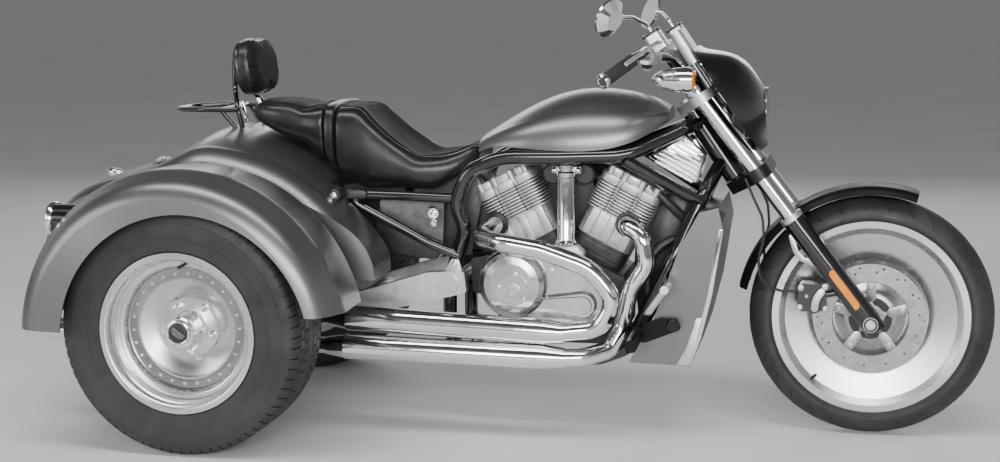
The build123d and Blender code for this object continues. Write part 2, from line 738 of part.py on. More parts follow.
with BuildPart() as lower_exhaust:
    tube(
        [
            (eng(400), -port_y, 562), (eng(400), -152, 562), (eng(446), -178, 540),
            (eng(458), -181, 462), (eng(414), -182, 396), (eng(394), -182, 296),
            (eng(364), -206, 238), (eng(300), -256, 225.5), (eng(240), -271, 225),
        ],
        [28, 40, 60, 80, 60, 40, 60],
        header_radius,
    )
    muffler((inlet_x, -270, 225), (outlet_x, -292, 239))
    start, tip = Vector(hub(335), -290.7, 238), Vector(hub(-tail_overhang), -300, 250)
    rod(start, tip, tailpipe_radius)
    rod(tip, tip + (start - tip).normalized() * tip_depth, tailpipe_radius - 2, mode=Mode.SUBTRACT)
finish(lower_exhaust.part, "lower_exhaust")

# Foot controls: a peg and a pedal each side, on a bracket from the downtube
bracket_inner_y, bracket_outer_y = 196, 206
bracket_outline = [(424, 262), (424, 300), (500, 330), (540, 330), (552, 300), (460, 262)]
with BuildPart() as foot_controls:
    for s in sides:
        cross_rod(eng(434), 280, s * (150 + frame_tube_radius + fit_clearance), s * bracket_inner_y, 13)
        side_plate(outlined(bracket_outline), s * bracket_inner_y, s * bracket_outer_y, corner=8)
        rod((eng(440), s * bracket_outer_y, 286), (eng(440), s * 340, 281), 11)
        for index in range(9):
            rib_y = s * (240 + 12.5 * index)
            cross_rod(eng(440), 285 - 0.4 * index, rib_y, rib_y + s * 8, 17)
        rod((eng(440), s * 236, 285), (eng(440), s * 350, 281), 14.5)
        tube(
            [
                (eng(450), s * bracket_outer_y, 312), (eng(450), s * 226, 316),
                (eng(484), s * 240, 368), (eng(520), s * 250, 420),
            ],
            [10, 60],
            9,
        )
        rod((eng(520), s * 238, 420), (eng(520), s * 318, 424), 11)
        rod((eng(528), s * bracket_outer_y, 312), (eng(534), s * 232, 314), 15)
finish(foot_controls.part, "foot_controls")

# Side covers under the seat, with the ignition lock on the right one
cover_top = seat_rail_z - seat_rail_radius - fit_clearance
cover_face_y = 130
with BuildPart() as side_covers:
    for s in sides:
        side_plate(
            outlined([(-280, cover_top), (-262, 470), (-104, 456), (-98, cover_top)]),
            s * (cover_face_y - 14), s * cover_face_y, corner=12,
        )
    cross_rod(eng(-128), 585, -cover_face_y, -cover_face_y - 54, 15)
finish(side_covers.part, "side_covers")

# Drive belt: a toothless band round the engine and axle pulleys on the left
belt_inner_y, belt_outer_y, belt_thickness = 70, 98, 6
front_pulley, rear_pulley = 34, 94
belt_plane = side_plane(belt_outer_y)
with BuildPart() as drive_belt:
    with BuildSketch(belt_plane) as band:
        with Locations((eng(4), 400)):
            Circle(front_pulley + belt_thickness)
        with Locations((hub(0), rear_tyre_radius)):
            Circle(rear_pulley + belt_thickness)
        make_hull()
    with BuildSketch(belt_plane) as inside:
        with Locations((eng(4), 400)):
            Circle(front_pulley)
        with Locations((hub(0), rear_tyre_radius)):
            Circle(rear_pulley)
        make_hull()
    extrude(band.sketch, amount=belt_outer_y - belt_inner_y)
    extrude(inside.sketch, amount=belt_outer_y - belt_inner_y, mode=Mode.SUBTRACT)
finish(drive_belt.part, "drive_belt")

with BuildPart() as belt_pulleys:
    for x, z, radius, start in (
        (eng(4), 400, front_pulley, gearbox_half_width),
        (hub(0), rear_tyre_radius, rear_pulley, differential_left),
    ):
        cross_rod(x, z, start, belt_outer_y + 3, radius - fit_clearance)
    clear_radius = housing_radius + fit_clearance
    cross_rod(hub(0), rear_tyre_radius, 0, belt_outer_y + 4, clear_radius, mode=Mode.SUBTRACT)
finish(belt_pulleys.part, "belt_pulleys")

# Steering: clamps and stem
upper_thickness, lower_thickness = 26, 34
clamp_ring = 33
with BuildPart() as triple_clamps:
    for height, thickness in ((0, lower_thickness), (clamp_spacing, upper_thickness)):
        with BuildSketch(steer_plane.offset(height - thickness / 2)) as clamp:
            with Locations((0, 0)):
                Circle(34)
            with Locations((fork_offset(height), fork_half_span), (fork_offset(height), -fork_half_span)):
                Circle(clamp_ring)
            make_hull()
        extrude(clamp.sketch, amount=thickness)
    for s in sides:
        leg = fork_plane.offset(fork_length(0) - 80)
        with BuildSketch(leg) as hole:
            with Locations((0, s * fork_half_span)):
                Circle(fork_tube_radius)
        extrude(hole.sketch, amount=500, mode=Mode.SUBTRACT)
    with BuildSketch(steer_plane.offset(-lower_thickness / 2)) as stem:
        Circle(stem_radius)
    extrude(stem.sketch, amount=clamp_spacing + lower_thickness / 2 + upper_thickness / 2 + 8)
finish(triple_clamps.part, "triple_clamps")

# Fork: tubes, sliders and the front axle
fork_top = fork_length(clamp_spacing) + 42
with BuildPart() as fork_tubes:
    with BuildSketch(fork_plane.offset(slider_top - 60)):
        with Locations((0, fork_half_span), (0, -fork_half_span)):
            Circle(fork_tube_radius)
    extrude(amount=fork_top - slider_top + 60)
finish(fork_tubes.part, "fork_tubes")

with BuildPart() as fork_sliders:
    with BuildSketch(fork_plane.offset(-26)):
        with Locations((0, fork_half_span), (0, -fork_half_span)):
            Circle(slider_radius)
    extrude(amount=slider_top + 26)
    with BuildSketch(fork_plane.offset(slider_top - 60)):
        with Locations((0, fork_half_span), (0, -fork_half_span)):
            Circle(fork_tube_radius + running_clearance)
    extrude(amount=60, mode=Mode.SUBTRACT)
    cross_rod(front_axle_x, front_tyre_radius, -200, 200, front_axle_radius, mode=Mode.SUBTRACT)
finish(fork_sliders.part, "fork_sliders")

axle_end = fork_half_span + slider_radius
nut_seat, nut_length, axle_nut_radius = 4, 12, 19
spacer_radius = 16
hub_half_width = 42  # of the front wheel


with BuildPart() as front_axle:
    axle_line = front_axle_x, front_tyre_radius
    cross_rod(*axle_line, -axle_end - nut_seat, axle_end + nut_seat, front_axle_radius)
    for s in sides:
        spacer_end = s * (fork_half_span - slider_radius - fit_clearance)
        cross_rod(*axle_line, s * (axle_end + fit_clearance), s * (axle_end + nut_length), axle_nut_radius)
        cross_rod(*axle_line, s * (hub_half_width + 6), spacer_end, spacer_radius)
finish(front_axle.part, "front_axle")

# Front wheel: a solid disc rim, its tyre and two brake discs
front_centre = (front_axle_x, 0, front_tyre_radius)
rim_half = [
    (46, front_rim_radius), (46, 238), (34, 222), (17, 150), (15, 92), (hub_half_width, 60),
    (hub_half_width, front_axle_radius + running_clearance),
]
lip = front_rim_radius
rim_crown = [(-40, lip), (-38, lip - 12), (-30, lip - 19), (30, lip - 19), (38, lip - 12), (40, lip)]
pocket_radius, pocket_height, pocket_arc, pocket_depth = 46, 24, 30, 12
arm_count = 5


def arc_slots(y, depth, radius, height, arc, turn):
    """cut a ring of curved slots into the front wheel, inwards from y"""
    with BuildSketch(side_plane(y)) as slots:
        with Locations((front_axle_x, front_tyre_radius)):
            with PolarLocations(0, arm_count, start_angle=turn):
                SlotArc(CenterArc((0, 0), radius, -arc / 2, arc), height)
    extrude(slots.sketch, amount=-depth if y < 0 else depth, mode=Mode.SUBTRACT)


with BuildPart() as front_rim:
    turned(front_centre, rim_half + [(-a, r) for a, r in reversed(rim_half)] + rim_crown)
    for s in sides:
        arc_slots(s * hub_half_width, pocket_depth, pocket_radius, pocket_height, pocket_arc, 54)
finish(front_rim.part, "front_rim")

tyre, wide = front_tyre_radius, front_tyre_half_width
front_tyre_outline = [
    (0, tyre), (28, tyre - 6), (47, tyre - 22), (wide - 1, tyre - 42), (wide, tyre - 48),
    (wide - 5, tyre - 56), (46, lip + 1), (39.5, lip + 1), (37.5, lip - 11), (30.5, lip - 16),
    (27, lip - 8), (wide - 12, tyre - 48), (40, tyre - 29), (24, tyre - 16), (0, tyre - 11),
]
front_tyre_outline += [(-a, r) for a, r in reversed(front_tyre_outline[1:-1])]
with BuildPart() as front_tyre:
    turned(front_centre, front_tyre_outline)
finish(front_tyre.part, "front_tyre")

disc_inner_y, disc_outer_y, disc_radius = 58, 63, 146
disc_bore = spacer_radius + joint_gap + 0.2
carrier_y = hub_half_width + fit_clearance
disc_gap = joint_gap + 0.2  # the caliper slot clears the disc on each face
drill_radius, drill_count, outer_drill_ring, inner_drill_ring = 3, 14, 136, 125
window_radius, window_height, window_arc = 79, 17, 42
with BuildPart() as front_brake_discs:
    for s in sides:
        outline = [
            (carrier_y, disc_bore), (carrier_y, 62), (disc_inner_y, 94), (disc_inner_y, disc_radius),
            (disc_outer_y, disc_radius), (disc_outer_y, 100), (disc_outer_y - 1.5, 98),
            (disc_outer_y - 1.5, 90), (carrier_y + 5, 60), (carrier_y + 5, disc_bore),
        ]
        turned(front_centre, [(s * a, r) for a, r in outline])
        arc_slots(s * (disc_outer_y + 1), 24, pocket_radius, pocket_height, pocket_arc, 54)
        arc_slots(s * (disc_outer_y + 1), 24, window_radius, window_height, window_arc, 18)
        with BuildSketch(side_plane(s * (disc_outer_y + 1))) as drillings:
            with Locations((front_axle_x, front_tyre_radius)):
                with PolarLocations(outer_drill_ring, drill_count):
                    Circle(drill_radius)
                with PolarLocations(inner_drill_ring, drill_count, start_angle=7):
                    Circle(drill_radius)
        extrude(drillings.sketch, amount=s * 10, mode=Mode.SUBTRACT)
        with BuildSketch(side_plane(s * (disc_outer_y - 3))) as buttons:
            with Locations((front_axle_x, front_tyre_radius)):
                with PolarLocations(97, arm_count, start_angle=54):
                    Circle(8)
        extrude(buttons.sketch, amount=-s * 4)
finish(front_brake_discs.part, "front_brake_discs")

# Front calipers straddle the discs behind the fork legs
with BuildPart() as front_calipers:
    for s in sides:
        side_plate(
            [
                (front_axle_x - 190, front_tyre_radius + 20), (front_axle_x - 186, front_tyre_radius + 96),
                (front_axle_x - 116, front_tyre_radius + 92), (front_axle_x - 112, front_tyre_radius + 24),
            ],
            s * 50, s * 98, corner=14,
        )
        slot_inner_y, slot_outer_y = s * (disc_inner_y - disc_gap), s * (disc_outer_y + disc_gap)
        turned(
            front_centre,
            [
                (slot_inner_y, 60), (slot_inner_y, disc_radius + disc_gap),
                (slot_outer_y, disc_radius + disc_gap), (slot_outer_y, 60),
            ],
            mode=Mode.SUBTRACT,
        )
        rod(
            (front_axle_x - 118, s * 88, front_tyre_radius + 66),
            (front_axle_x - 70, s * 88, front_tyre_radius + 76), 9,
        )
    with BuildSketch(fork_plane.offset(-30)) as legs:
        with Locations((0, fork_half_span), (0, -fork_half_span)):
            Circle(slider_radius + fit_clearance)
    extrude(legs.sketch, amount=300, mode=Mode.SUBTRACT)
finish(front_calipers.part, "front_calipers")

# Front fender on the sliders
with BuildPart() as front_fender:
    with BuildSketch(Plane(origin=front_centre, x_dir=(0, 1, 0), z_dir=(1, 0, 0))) as shell:
        with BuildLine():
            crown = FilletPolyline(
                (-front_fender_half_width, front_fender_radius - 20), (-60, front_fender_radius - 2),
                (0, front_fender_radius + 2), (60, front_fender_radius - 2),
                (front_fender_half_width, front_fender_radius - 20),
                radius=[24, 60, 24],
            )
            offset(crown, amount=front_fender_wall, side=Side.LEFT, closed=True)
        make_face()
    revolve(shell.sketch, axis=Axis(front_centre, (0, 1, 0)))
    keep_plane = Plane(origin=front_centre, x_dir=(1, 0, 0), z_dir=(0, -1, 0))
    with BuildSketch(keep_plane) as keep:
        with BuildLine():
            Polyline(
                (0, 0), (500 * cos(radians(71)), 500 * sin(radians(71))), (0, 620), (-620, 620),
                (500 * cos(radians(168)), 500 * sin(radians(168))), close=True,
            )
        make_face()
    extrude(keep.sketch, amount=100, both=True, mode=Mode.INTERSECT)
finish(front_fender.part, "front_fender")

# Handlebar on two risers, grips, controls, mirrors and indicators
bar_points = [
    steer(-89, -420, 413), steer(3, -300, 421), steer(40, -170, 380), steer(46, -80, 306),
    steer(46, 80, 306), steer(40, 170, 380), steer(3, 300, 421), steer(-89, 420, 413),
]
with BuildPart() as handlebar:
    tube(bar_points, [80, 90, 60, 60, 90, 80], handlebar_radius)
    for s in sides:
        with BuildSketch(steer_plane.offset(clamp_spacing + upper_thickness / 2)) as riser:
            with Locations((46, s * 42)):
                Circle(15)
        extrude(riser.sketch, amount=50)
finish(handlebar.part, "handlebar")

grip_radius = 17
with BuildPart() as grips:
    for s in sides:
        start, end = Vector(steer(3, s * 300, 421)), Vector(steer(-89, s * 420, 413))
        along = (end - start).normalized()
        grip_base = Plane(origin=start + along * 34, z_dir=along)
        with BuildSketch(grip_base) as grip:
            Circle(grip_radius)
            Circle(handlebar_radius + running_clearance, mode=Mode.SUBTRACT)
        extrude(grip.sketch, amount=(end - start).length - 34)
        with BuildSketch(Plane(origin=end, z_dir=along)) as cap:
            Circle(grip_radius - 2)
        extrude(cap.sketch, amount=8)
finish(grips.part, "grips")

with BuildPart() as bar_controls:
    for s in sides:
        start, end = Vector(steer(40, s * 170, 380)), Vector(steer(3, s * 300, 421))
        along = (end - start).normalized()
        box_base = Plane(origin=end - along * 74, z_dir=along)
        with BuildSketch(box_base) as housing:
            Circle(23)
        extrude(housing.sketch, amount=42)
        with BuildSketch(box_base.offset(-5)) as core:
            Circle(handlebar_radius + running_clearance)
        with BuildSketch(steer_plane.offset(404)) as reservoir:
            with Locations((52, s * 262)):
                RectangleRounded(44, 62, 10)
        extrude(reservoir.sketch, amount=44)
        extrude(core.sketch, amount=60, mode=Mode.SUBTRACT)
        tube([steer(62, s * 285, 418), steer(60, s * 330, 422), steer(-20, s * 436, 416)], [50], 5)
finish(bar_controls.part, "bar_controls")

mirror_radius = 48
with BuildPart() as mirrors:
    for s in sides:
        eye = steer(7, s * 406, 528)
        tube(
            [
                steer(52, s * 246, 448.3), steer(52, s * 246, 476),
                steer(40, s * 316, 508), steer(14, s * 398, 526),
            ],
            [16, 60],
            5,
        )
        mirror_plane = Plane(origin=eye, z_dir=(0.8, s * 0.5, -0.33))
        with BuildSketch(mirror_plane.offset(-9)) as glass:
            Circle(mirror_radius)
        extrude(glass.sketch, amount=6)
        with BuildSketch(mirror_plane.offset(-3)) as rim:
            Circle(mirror_radius)
        with BuildSketch(mirror_plane.offset(13)) as back:
            Circle(mirror_radius - 22)
        loft([rim.sketch.face(), back.sketch.face()])
finish(mirrors.part, "mirrors")

collar_height = clamp_spacing + upper_thickness / 2 + 5
with BuildPart() as turn_signals:
    for s in sides:
        with BuildSketch(fork_plane.offset(fork_length(collar_height))) as collar:
            with Locations((0, s * fork_half_span)):
                Circle(fork_tube_radius + 5)
                Circle(fork_tube_radius + running_clearance, mode=Mode.SUBTRACT)
        extrude(collar.sketch, amount=16)
        middle = Vector(steer(36, s * 250, 321))
        rod((middle.X - 40, middle.Y, middle.Z), (middle.X + 34, middle.Y, middle.Z), 18, 31)
        rod((middle.X + 34, middle.Y, middle.Z), (middle.X + 44, middle.Y, middle.Z), 31)
        stalk_height, stalk_y = collar_height + 8, s * (fork_half_span + fork_tube_radius + 3)
        rod(steer(fork_offset(stalk_height), stalk_y, stalk_height), steer(36, s * 236, 319), 7)
finish(turn_signals.part, "turn_signals")

with BuildPart() as instrument_cluster:
    with BuildSketch(steer_plane.offset(332)) as dial:
        with Locations((80, 0)):
            RectangleRounded(34, 150, 14)
    extrude(dial.sketch, amount=96)
    with BuildSketch(steer_plane.offset(clamp_spacing + upper_thickness / 2 + fit_clearance)) as posts:
        with Locations((74, 40), (74, -40)):
            Circle(6)
    extrude(posts.sketch, amount=80)
finish(instrument_cluster.part, "instrument_cluster")

# Headlight fairing: a bowl lofted through arcs, open behind, with the lamp let into it
fairing_stations = [  # above the lower clamp, depth ahead of the rear edge, half width
    (46, 18, 92), (85, 50, 122), (131, 82, 142), (190, 93, 152),
    (262, 88, 150), (320, 50, 134), (364, 12, 108),
]
fairing_edge, fairing_wall = 100, 3
lamp_height, headlamp_radius = 850, 68


def fairing_form(inset):
    """the fairing as a solid behind its outer skin"""
    sections = []
    last = len(fairing_stations) - 1
    for index, (height, depth, half_width) in enumerate(fairing_stations):
        lift = {0: inset, last: -inset}.get(index, 0)
        wide = half_width - inset
        with BuildSketch(steer_plane.offset(height + lift)) as section:
            with BuildLine():
                ThreePointArc(
                    (fairing_edge - inset / 3, -wide), (fairing_edge + depth - inset, 0),
                    (fairing_edge - inset / 3, wide),
                )
                Line((fairing_edge - inset / 3, wide), (fairing_edge - inset / 3, -wide))
            make_face()
        sections.append(section.sketch.face())
    loft(sections)


with BuildPart() as fairing_cavity:
    fairing_form(fairing_wall)
lamp_x = steering_x(lamp_height) + 195
with BuildPart() as headlight_fairing:
    fairing_form(0)
    add(fairing_cavity.part, mode=Mode.SUBTRACT)
    lamp_back, lamp_hole = (lamp_x - 90, 0, lamp_height), headlamp_radius + fit_clearance
    rod(lamp_back, (lamp_x + 200, 0, lamp_height), lamp_hole, mode=Mode.SUBTRACT)
finish(headlight_fairing.part, "headlight_fairing")

with BuildPart() as headlamp:
    rod((lamp_x - 60, 0, lamp_height), (lamp_x, 0, lamp_height), headlamp_radius)
    rod((lamp_x - 90, 0, lamp_height), (lamp_x - 60, 0, lamp_height), headlamp_radius - 28, headlamp_radius)
    for s in sides:
        clamp_face = fork_offset(clamp_spacing) + clamp_ring + fit_clearance
        tube(
            [
                steer(clamp_face, s * 30, clamp_spacing), steer(clamp_face + 26, s * 30, clamp_spacing),
                (lamp_x - 62, s * 30, lamp_height + 42),
            ],
            [12],
            5,
        )
finish(headlamp.part, "headlamp")

# Front brake lines: a hose each side from the lower clamp to the caliper
hose_radius = 3.5
with BuildPart() as brake_lines:
    for s in sides:
        tube(
            [
                (eng(706), s * 130, 690), (eng(728), s * 131, 640), (eng(752), s * 132, 590),
                (eng(757), s * 132, 535), (eng(744), s * 131, 485), (eng(746), s * 125, 435),
                (eng(768), s * 112, 404), (eng(806), s * 98, 391), (eng(845), s * 90, 392),
            ],
            [60, 60, 60, 60, 45, 40, 40],
            hose_radius,
        )
finish(brake_lines.part, "brake_lines")
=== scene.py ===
import bpy
import json
import numpy as np
from math import atan2, cos, degrees, pi, radians, sin
from mathutils import Matrix, Vector
from mathutils.kdtree import KDTree


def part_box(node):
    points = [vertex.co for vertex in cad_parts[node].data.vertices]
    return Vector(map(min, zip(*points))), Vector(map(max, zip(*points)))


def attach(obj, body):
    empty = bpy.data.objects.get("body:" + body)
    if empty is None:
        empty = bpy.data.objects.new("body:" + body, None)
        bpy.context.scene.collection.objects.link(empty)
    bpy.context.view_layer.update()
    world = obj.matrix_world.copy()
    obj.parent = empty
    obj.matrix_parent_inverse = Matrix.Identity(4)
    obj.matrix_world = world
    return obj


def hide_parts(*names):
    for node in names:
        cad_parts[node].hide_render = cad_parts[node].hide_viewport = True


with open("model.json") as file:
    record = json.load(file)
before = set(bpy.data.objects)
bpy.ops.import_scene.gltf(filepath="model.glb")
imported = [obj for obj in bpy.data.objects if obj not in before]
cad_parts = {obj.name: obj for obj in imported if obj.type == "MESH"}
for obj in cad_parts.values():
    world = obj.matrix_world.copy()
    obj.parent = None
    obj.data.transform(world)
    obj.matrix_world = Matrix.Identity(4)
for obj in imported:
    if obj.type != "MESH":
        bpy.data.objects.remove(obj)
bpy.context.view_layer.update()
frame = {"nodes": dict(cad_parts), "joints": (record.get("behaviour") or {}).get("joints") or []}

nodes = frame["nodes"]
joints = {joint["name"]: joint for joint in frame["joints"]}

# places read from the frame; all offsets below are in millimetres
jointAt = {name: Vector(joint["pos_m"]) for name, joint in joints.items()}
frontHub = jointAt["front_wheel_spin"]
rearHubs = {side: jointAt[f"rear_{side}_wheel_spin"] for side in ("right", "left")}
steerPoint = jointAt["steering_turn"]
steerUp = Vector(joints["steering_turn"]["axis"]).normalized()
steerAhead = Vector((steerUp.z, 0, -steerUp.x))
forkLean = radians(37.7)
legUp = Vector((-sin(forkLean), 0, cos(forkLean)))
legAhead = Vector((cos(forkLean), 0, sin(forkLean)))
engineX = frontHub.x - 1.033
hubX = rearHubs["right"].x
sides = (-1, 1)


def mm(x, y, z):
    return Vector((x, y, z)) / 1000


def engAt(x, y, z):
    return mm(x, y, z) + Vector((engineX, 0, 0))


def tailAt(x, y, z):
    return mm(x, y, z) + Vector((hubX, 0, 0))


def wheelAt(x, y, z):
    return frontHub + mm(x, y, z)


def steerAt(ahead, side, up):
    return steerPoint + (steerAhead * ahead + Vector((0, side, 0)) + steerUp * up) / 1000


def legAt(along, side, ahead):
    return frontHub + (legUp * along + Vector((0, side, 0)) + legAhead * ahead) / 1000


def facing(direction, place):
    # a matrix that turns +Y to the direction and moves the origin to the place
    turn = Vector((0, 1, 0)).rotation_difference(Vector(direction)).to_matrix().to_4x4()
    return Matrix.Translation(place) @ turn


class Shading:
    # short ways to add nodes to a material or a world and to link them
    def __init__(self, owner):
        owner.use_nodes = True
        self.nodes = owner.node_tree.nodes
        self.links = owner.node_tree.links

    def node(self, kind, **inputs):
        node = self.nodes.new("ShaderNode" + kind)
        for key, value in inputs.items():
            if isinstance(value, bpy.types.NodeSocket):
                self.links.new(value, node.inputs[key])
            else:
                node.inputs[key].default_value = value
        return node

    def ramp(self, field, stops):
        ramp = self.node("ValToRGB", Fac=field)
        elements = ramp.color_ramp.elements
        while len(elements) < len(stops):
            elements.new(0.5)
        for element, (place, value) in zip(elements, stops):
            element.position = place
            element.color = (*value, 1) if isinstance(value, tuple) else (value, value, value, 1)
        return ramp.outputs["Color"]


class Finish(Shading):
    def __init__(self, name, color, metallic, roughness, **sockets):
        self.material = bpy.data.materials.new(name)
        super().__init__(self.material)
        self.shader = self.nodes["Principled BSDF"]
        sockets.update(Base_Color=(*color, 1), Metallic=metallic, Roughness=roughness)
        for key, value in sockets.items():
            self.shader.inputs[key.replace("_", " ")].default_value = value
        self.coords = self.node("TexCoord").outputs["Object"]
        self.lastNormal = None

    def placed(self, centre, turn=(0, 0, 0), scale=(1, 1, 1)):
        mapping = self.node("Mapping", Vector=self.coords, Location=centre, Rotation=turn, Scale=scale)
        mapping.vector_type = "TEXTURE"
        return mapping.outputs["Vector"]

    def noise(self, scale, detail=3, roughness=0.5):
        noise = self.node("TexNoise", Vector=self.coords, Scale=scale, Detail=detail, Roughness=roughness)
        return noise.outputs["Fac"]

    def cells(self, scale, feature="F1", out="Distance"):
        cells = self.node("TexVoronoi", Vector=self.coords, Scale=scale)
        cells.feature = feature
        return cells.outputs[out]

    def feed(self, socket, field):
        self.links.new(field, self.shader.inputs[socket])

    def bump(self, height, strength, distance):
        bump = self.node("Bump", Height=height, Strength=strength, Distance=distance)
        if self.lastNormal:
            self.links.new(self.lastNormal, bump.inputs["Normal"])
        self.lastNormal = bump.outputs["Normal"]
        self.feed("Normal", self.lastNormal)


def grained(name, color, metallic, roughness, tint, gloss, bump, **sockets):
    # tint and gloss: a noise and the colours or roughnesses it runs between; bump: noise, strength, depth
    finish = Finish(name, color, metallic, roughness, **sockets)
    for socket, field in (("Base Color", tint), ("Roughness", gloss)):
        if field:
            noise, *stops = field
            finish.feed(socket, finish.ramp(finish.noise(*noise), stops))
    if bump:
        noise, strength, distance = bump
        finish.bump(finish.noise(*noise), strength, distance)
    return finish


def paintFinish():
    paint = grained(
        "gunmetalPaint", (0.17, 0.158, 0.166), 0.88, 0.36, None, ((5, 4), (0.3, 0.34), (0.7, 0.4)),
        ((420, 2), 0.05, 0.0004), Coat_Weight=0.4, Coat_Roughness=0.16,
    )
    flakes = paint.node("RGBToBW", Color=paint.cells(2600, out="Color"))
    paint.feed("Base Color", paint.ramp(flakes.outputs["Val"], [
        (0.0, (0.13, 0.121, 0.127)), (0.6, (0.17, 0.158, 0.166)), (1.0, (0.3, 0.284, 0.295)),
    ]))
    return paint


def glossBlackFinish(name, coat, specular, roughness=0.12):
    return grained(
        name, (0.006, 0.006, 0.007), 0.0, 0.16, None, ((9, 5), (0.3, roughness), (0.75, roughness * 2)),
        ((160, 2), 0.06, 0.0005), Coat_Weight=coat, Coat_Roughness=0.06, Specular_IOR_Level=specular,
    )


def spunWheelFinish(name, centre, stops):
    # spun metal: grey by radius from the hub (on the rear rims with a band of painted shade at the rivet flange),
    # brushed round the axle
    alloy = grained(
        name, stops[0][1], 0.95, 0.28, None, ((30, 5, 0.6), (0.3, 0.25), (0.75, 0.29)),
        ((700, 2), 0.03, 0.0002), Anisotropic=0.75,
    )
    radius = alloy.node("VectorMath", Vector=alloy.placed(centre, scale=(1, 1e6, 1)))
    radius.operation = "LENGTH"
    alloy.feed("Base Color", alloy.ramp(radius.outputs["Value"], stops))
    around = alloy.node("VectorMath", Vector=(0, 1, 0))
    around.operation = "CROSS_PRODUCT"
    alloy.links.new(alloy.placed(centre), around.inputs[1])
    turned = alloy.node("VectorTransform", Vector=around.outputs["Vector"])
    turned.vector_type = "VECTOR"
    turned.convert_from, turned.convert_to = "OBJECT", "WORLD"
    alloy.feed("Tangent", turned.outputs["Vector"])
    return alloy


def castFinish(name, dark, light, metallic, roughness):
    return grained(
        name, light, metallic, roughness, ((38, 6, 0.65), (0.3, dark), (0.62, light)),
        ((70, 4), (0.3, roughness - 0.06), (0.7, roughness + 0.1)), ((900, 3), 0.18, 0.0004),
    )


def leatherFinish(name, dark, light, roughness, coat, specular):
    leather = grained(
        name, dark, 0.0, roughness, ((60, 5, 0.6), (0.3, dark), (0.7, light)),
        ((14, 4), (0.3, roughness - 0.05), (0.7, roughness + 0.1)), ((26, 3), 0.12, 0.004),
        Sheen_Weight=0.02, Coat_Weight=coat, Coat_Roughness=0.22, Specular_IOR_Level=specular,
    )
    leather.bump(leather.cells(420, "DISTANCE_TO_EDGE"), 0.2, 0.0006)
    leather.bump(leather.noise(900, 2), 0.1, 0.0003)
    return leather


def splitFinish(name, lower, upper, centre, turn, middle):
    # one casting, two finishes: changes over across a plane at a height above the turned centre
    both = grained(
        name, upper, 0.8, 0.4, None, ((70, 4), (0.3, 0.32), (0.7, 0.46)), ((900, 3), 0.15, 0.0004),
    )
    height = both.node("SeparateXYZ", Vector=both.placed(centre, turn)).outputs["Z"]
    blend = 0.002
    both.feed("Base Color", both.ramp(height, [(middle - blend, lower), (middle + blend, upper)]))
    return both


def plasticFinish(name, color, roughness, grain=650):
    lighter = tuple(min(1, c * 1.7 + 0.004) for c in color)
    return grained(
        name, color, 0.0, roughness, ((26, 5), (0.35, color), (0.8, lighter)),
        ((60, 3), (0.3, roughness - 0.08), (0.7, roughness + 0.1)), ((grain, 2), 0.12, 0.0004),
    )


def lensFinish(name, color, clear):
    lens = grained(
        name, color, 0.0, 0.08, None, ((30, 3), (0.3, 0.05), (0.7, 0.16)), None,
        Transmission_Weight=clear, IOR=1.45, Coat_Weight=0.6,
    )
    lens.bump(lens.cells(180), 0.3, 0.0006)
    return lens
